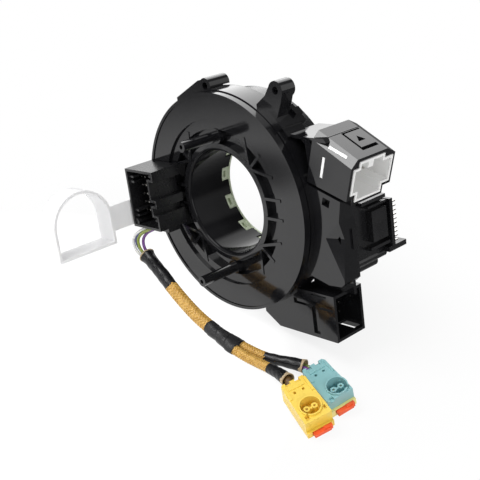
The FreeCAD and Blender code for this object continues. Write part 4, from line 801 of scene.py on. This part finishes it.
def floor_glow_and_painted_shade(tree, place):
    """How bright the floor is in a reflection, with painted shade behind the part and a painted dark
    patch.
    """
    fall = range_node(tree, vector_node(tree, "DISTANCE", place, GLOW_CENTRE), GLOW_REACH, GLOW_LEVELS)
    painted_patch = range_node(tree, vector_node(tree, "DISTANCE", place, PAINTED_DARK_PATCH_CENTRE), PAINTED_DARK_PATCH_REACH, PAINTED_DARK_PATCH_LEVELS)
    return math_node(tree, "MULTIPLY", fall, painted_patch)


def studio_panels(tree):
    """How bright the studio is in a reflection: dim walls with soft panels."""
    way = tree.nodes.new("ShaderNodeTexCoord").outputs["Generated"]
    total = None
    for place, half_angle, level in PANELS:
        facing = vector_node(tree, "DOT_PRODUCT", way, Vector(place).normalized())
        rim = (math.cos(math.radians(half_angle + PANEL_RIM[0])),
               math.cos(math.radians(half_angle - PANEL_RIM[1])))
        panel = range_node(tree, facing, rim, (0.0, level))
        total = panel if total is None else math_node(tree, "ADD", total, panel)
    return math_node(tree, "ADD", total, WALL_GLOW)


def make_floor():
    """A pale floor that keeps the part's shadow and is white to the camera."""
    bpy.ops.mesh.primitive_circle_add(vertices=96, radius=1.6, fill_type="NGON",
                                      location=(0.0, 0.0, FLOOR_Z - 0.0002))
    floor = bpy.context.object
    floor.name = "floor"
    material = bpy.data.materials.new("floor")
    material.use_nodes = True
    tree = material.node_tree
    tree.nodes.clear()
    place = tree.nodes.new("ShaderNodeTexCoord").outputs["Object"]
    plain = light_node(tree, "ShaderNodeBsdfDiffuse", (0.93, 0.93, 0.93, 1.0))
    bright = light_node(tree, "ShaderNodeEmission", (1.0, 1.0, 1.0, 1.0))
    strength = math_node(tree, "MAXIMUM", camera_ray(tree), floor_glow_and_painted_shade(tree, place))
    tree.links.new(strength, bright.inputs["Strength"])
    share = range_node(tree, vector_node(tree, "LENGTH", place), PLAIN_REACH, PLAIN_SHARES, smooth=False)
    mixed_output(tree, "ShaderNodeOutputMaterial", math_node(tree, "MULTIPLY", seen_rays(tree), share),
                 plain, bright)
    floor.data.materials.append(material)


def make_world():
    """Dim light all round, white to the camera and with soft panels in reflections."""
    world = bpy.data.worlds.new("studio")
    bpy.context.scene.world = world
    world.use_nodes = True
    tree = world.node_tree
    tree.nodes.clear()
    dim = light_node(tree, "ShaderNodeBackground", (1.0, 1.0, 1.0, 1.0), DIM_WORLD)
    white = light_node(tree, "ShaderNodeBackground", (1.0, 1.0, 1.0, 1.0))
    strength = math_node(tree, "MAXIMUM", camera_ray(tree), studio_panels(tree))
    tree.links.new(strength, white.inputs["Strength"])
    mixed_output(tree, "ShaderNodeOutputWorld", seen_rays(tree), dim, white)


def make_lamp(name, place, size, power):
    """A soft rectangular lamp aimed at the middle of the part."""
    data = bpy.data.lights.new(name, "AREA")
    data.shape = "RECTANGLE"
    data.size, data.size_y = size
    data.energy = power
    lamp = bpy.data.objects.new(name, data)
    bpy.context.scene.collection.objects.link(lamp)
    lamp.location = place
    lamp.rotation_euler = (-Vector(place)).to_track_quat("-Z", "Y").to_euler()


def make_lamps():
    """A soft key from above, and two large fills from the side and the front."""
    make_lamp("key", (-0.25, -0.45, 0.75), (0.5, 0.4), 5.5)
    make_lamp("side", (0.75, -0.25, 0.35), (0.4, 0.5), 2.5)
    make_lamp("front", (-0.35, -0.80, 0.10), (0.5, 0.4), 1.5)


make_camera()
made = make_materials()
make_cord_materials(made)
make_wires(made)
make_trunk(made)
make_yellow_branch(made)
make_teal_branch(made)
make_insert_marks(made)
dress_nodes(made)
make_floor()
make_world()
make_lamps()
bpy.context.scene.view_settings.view_transform = "Standard"
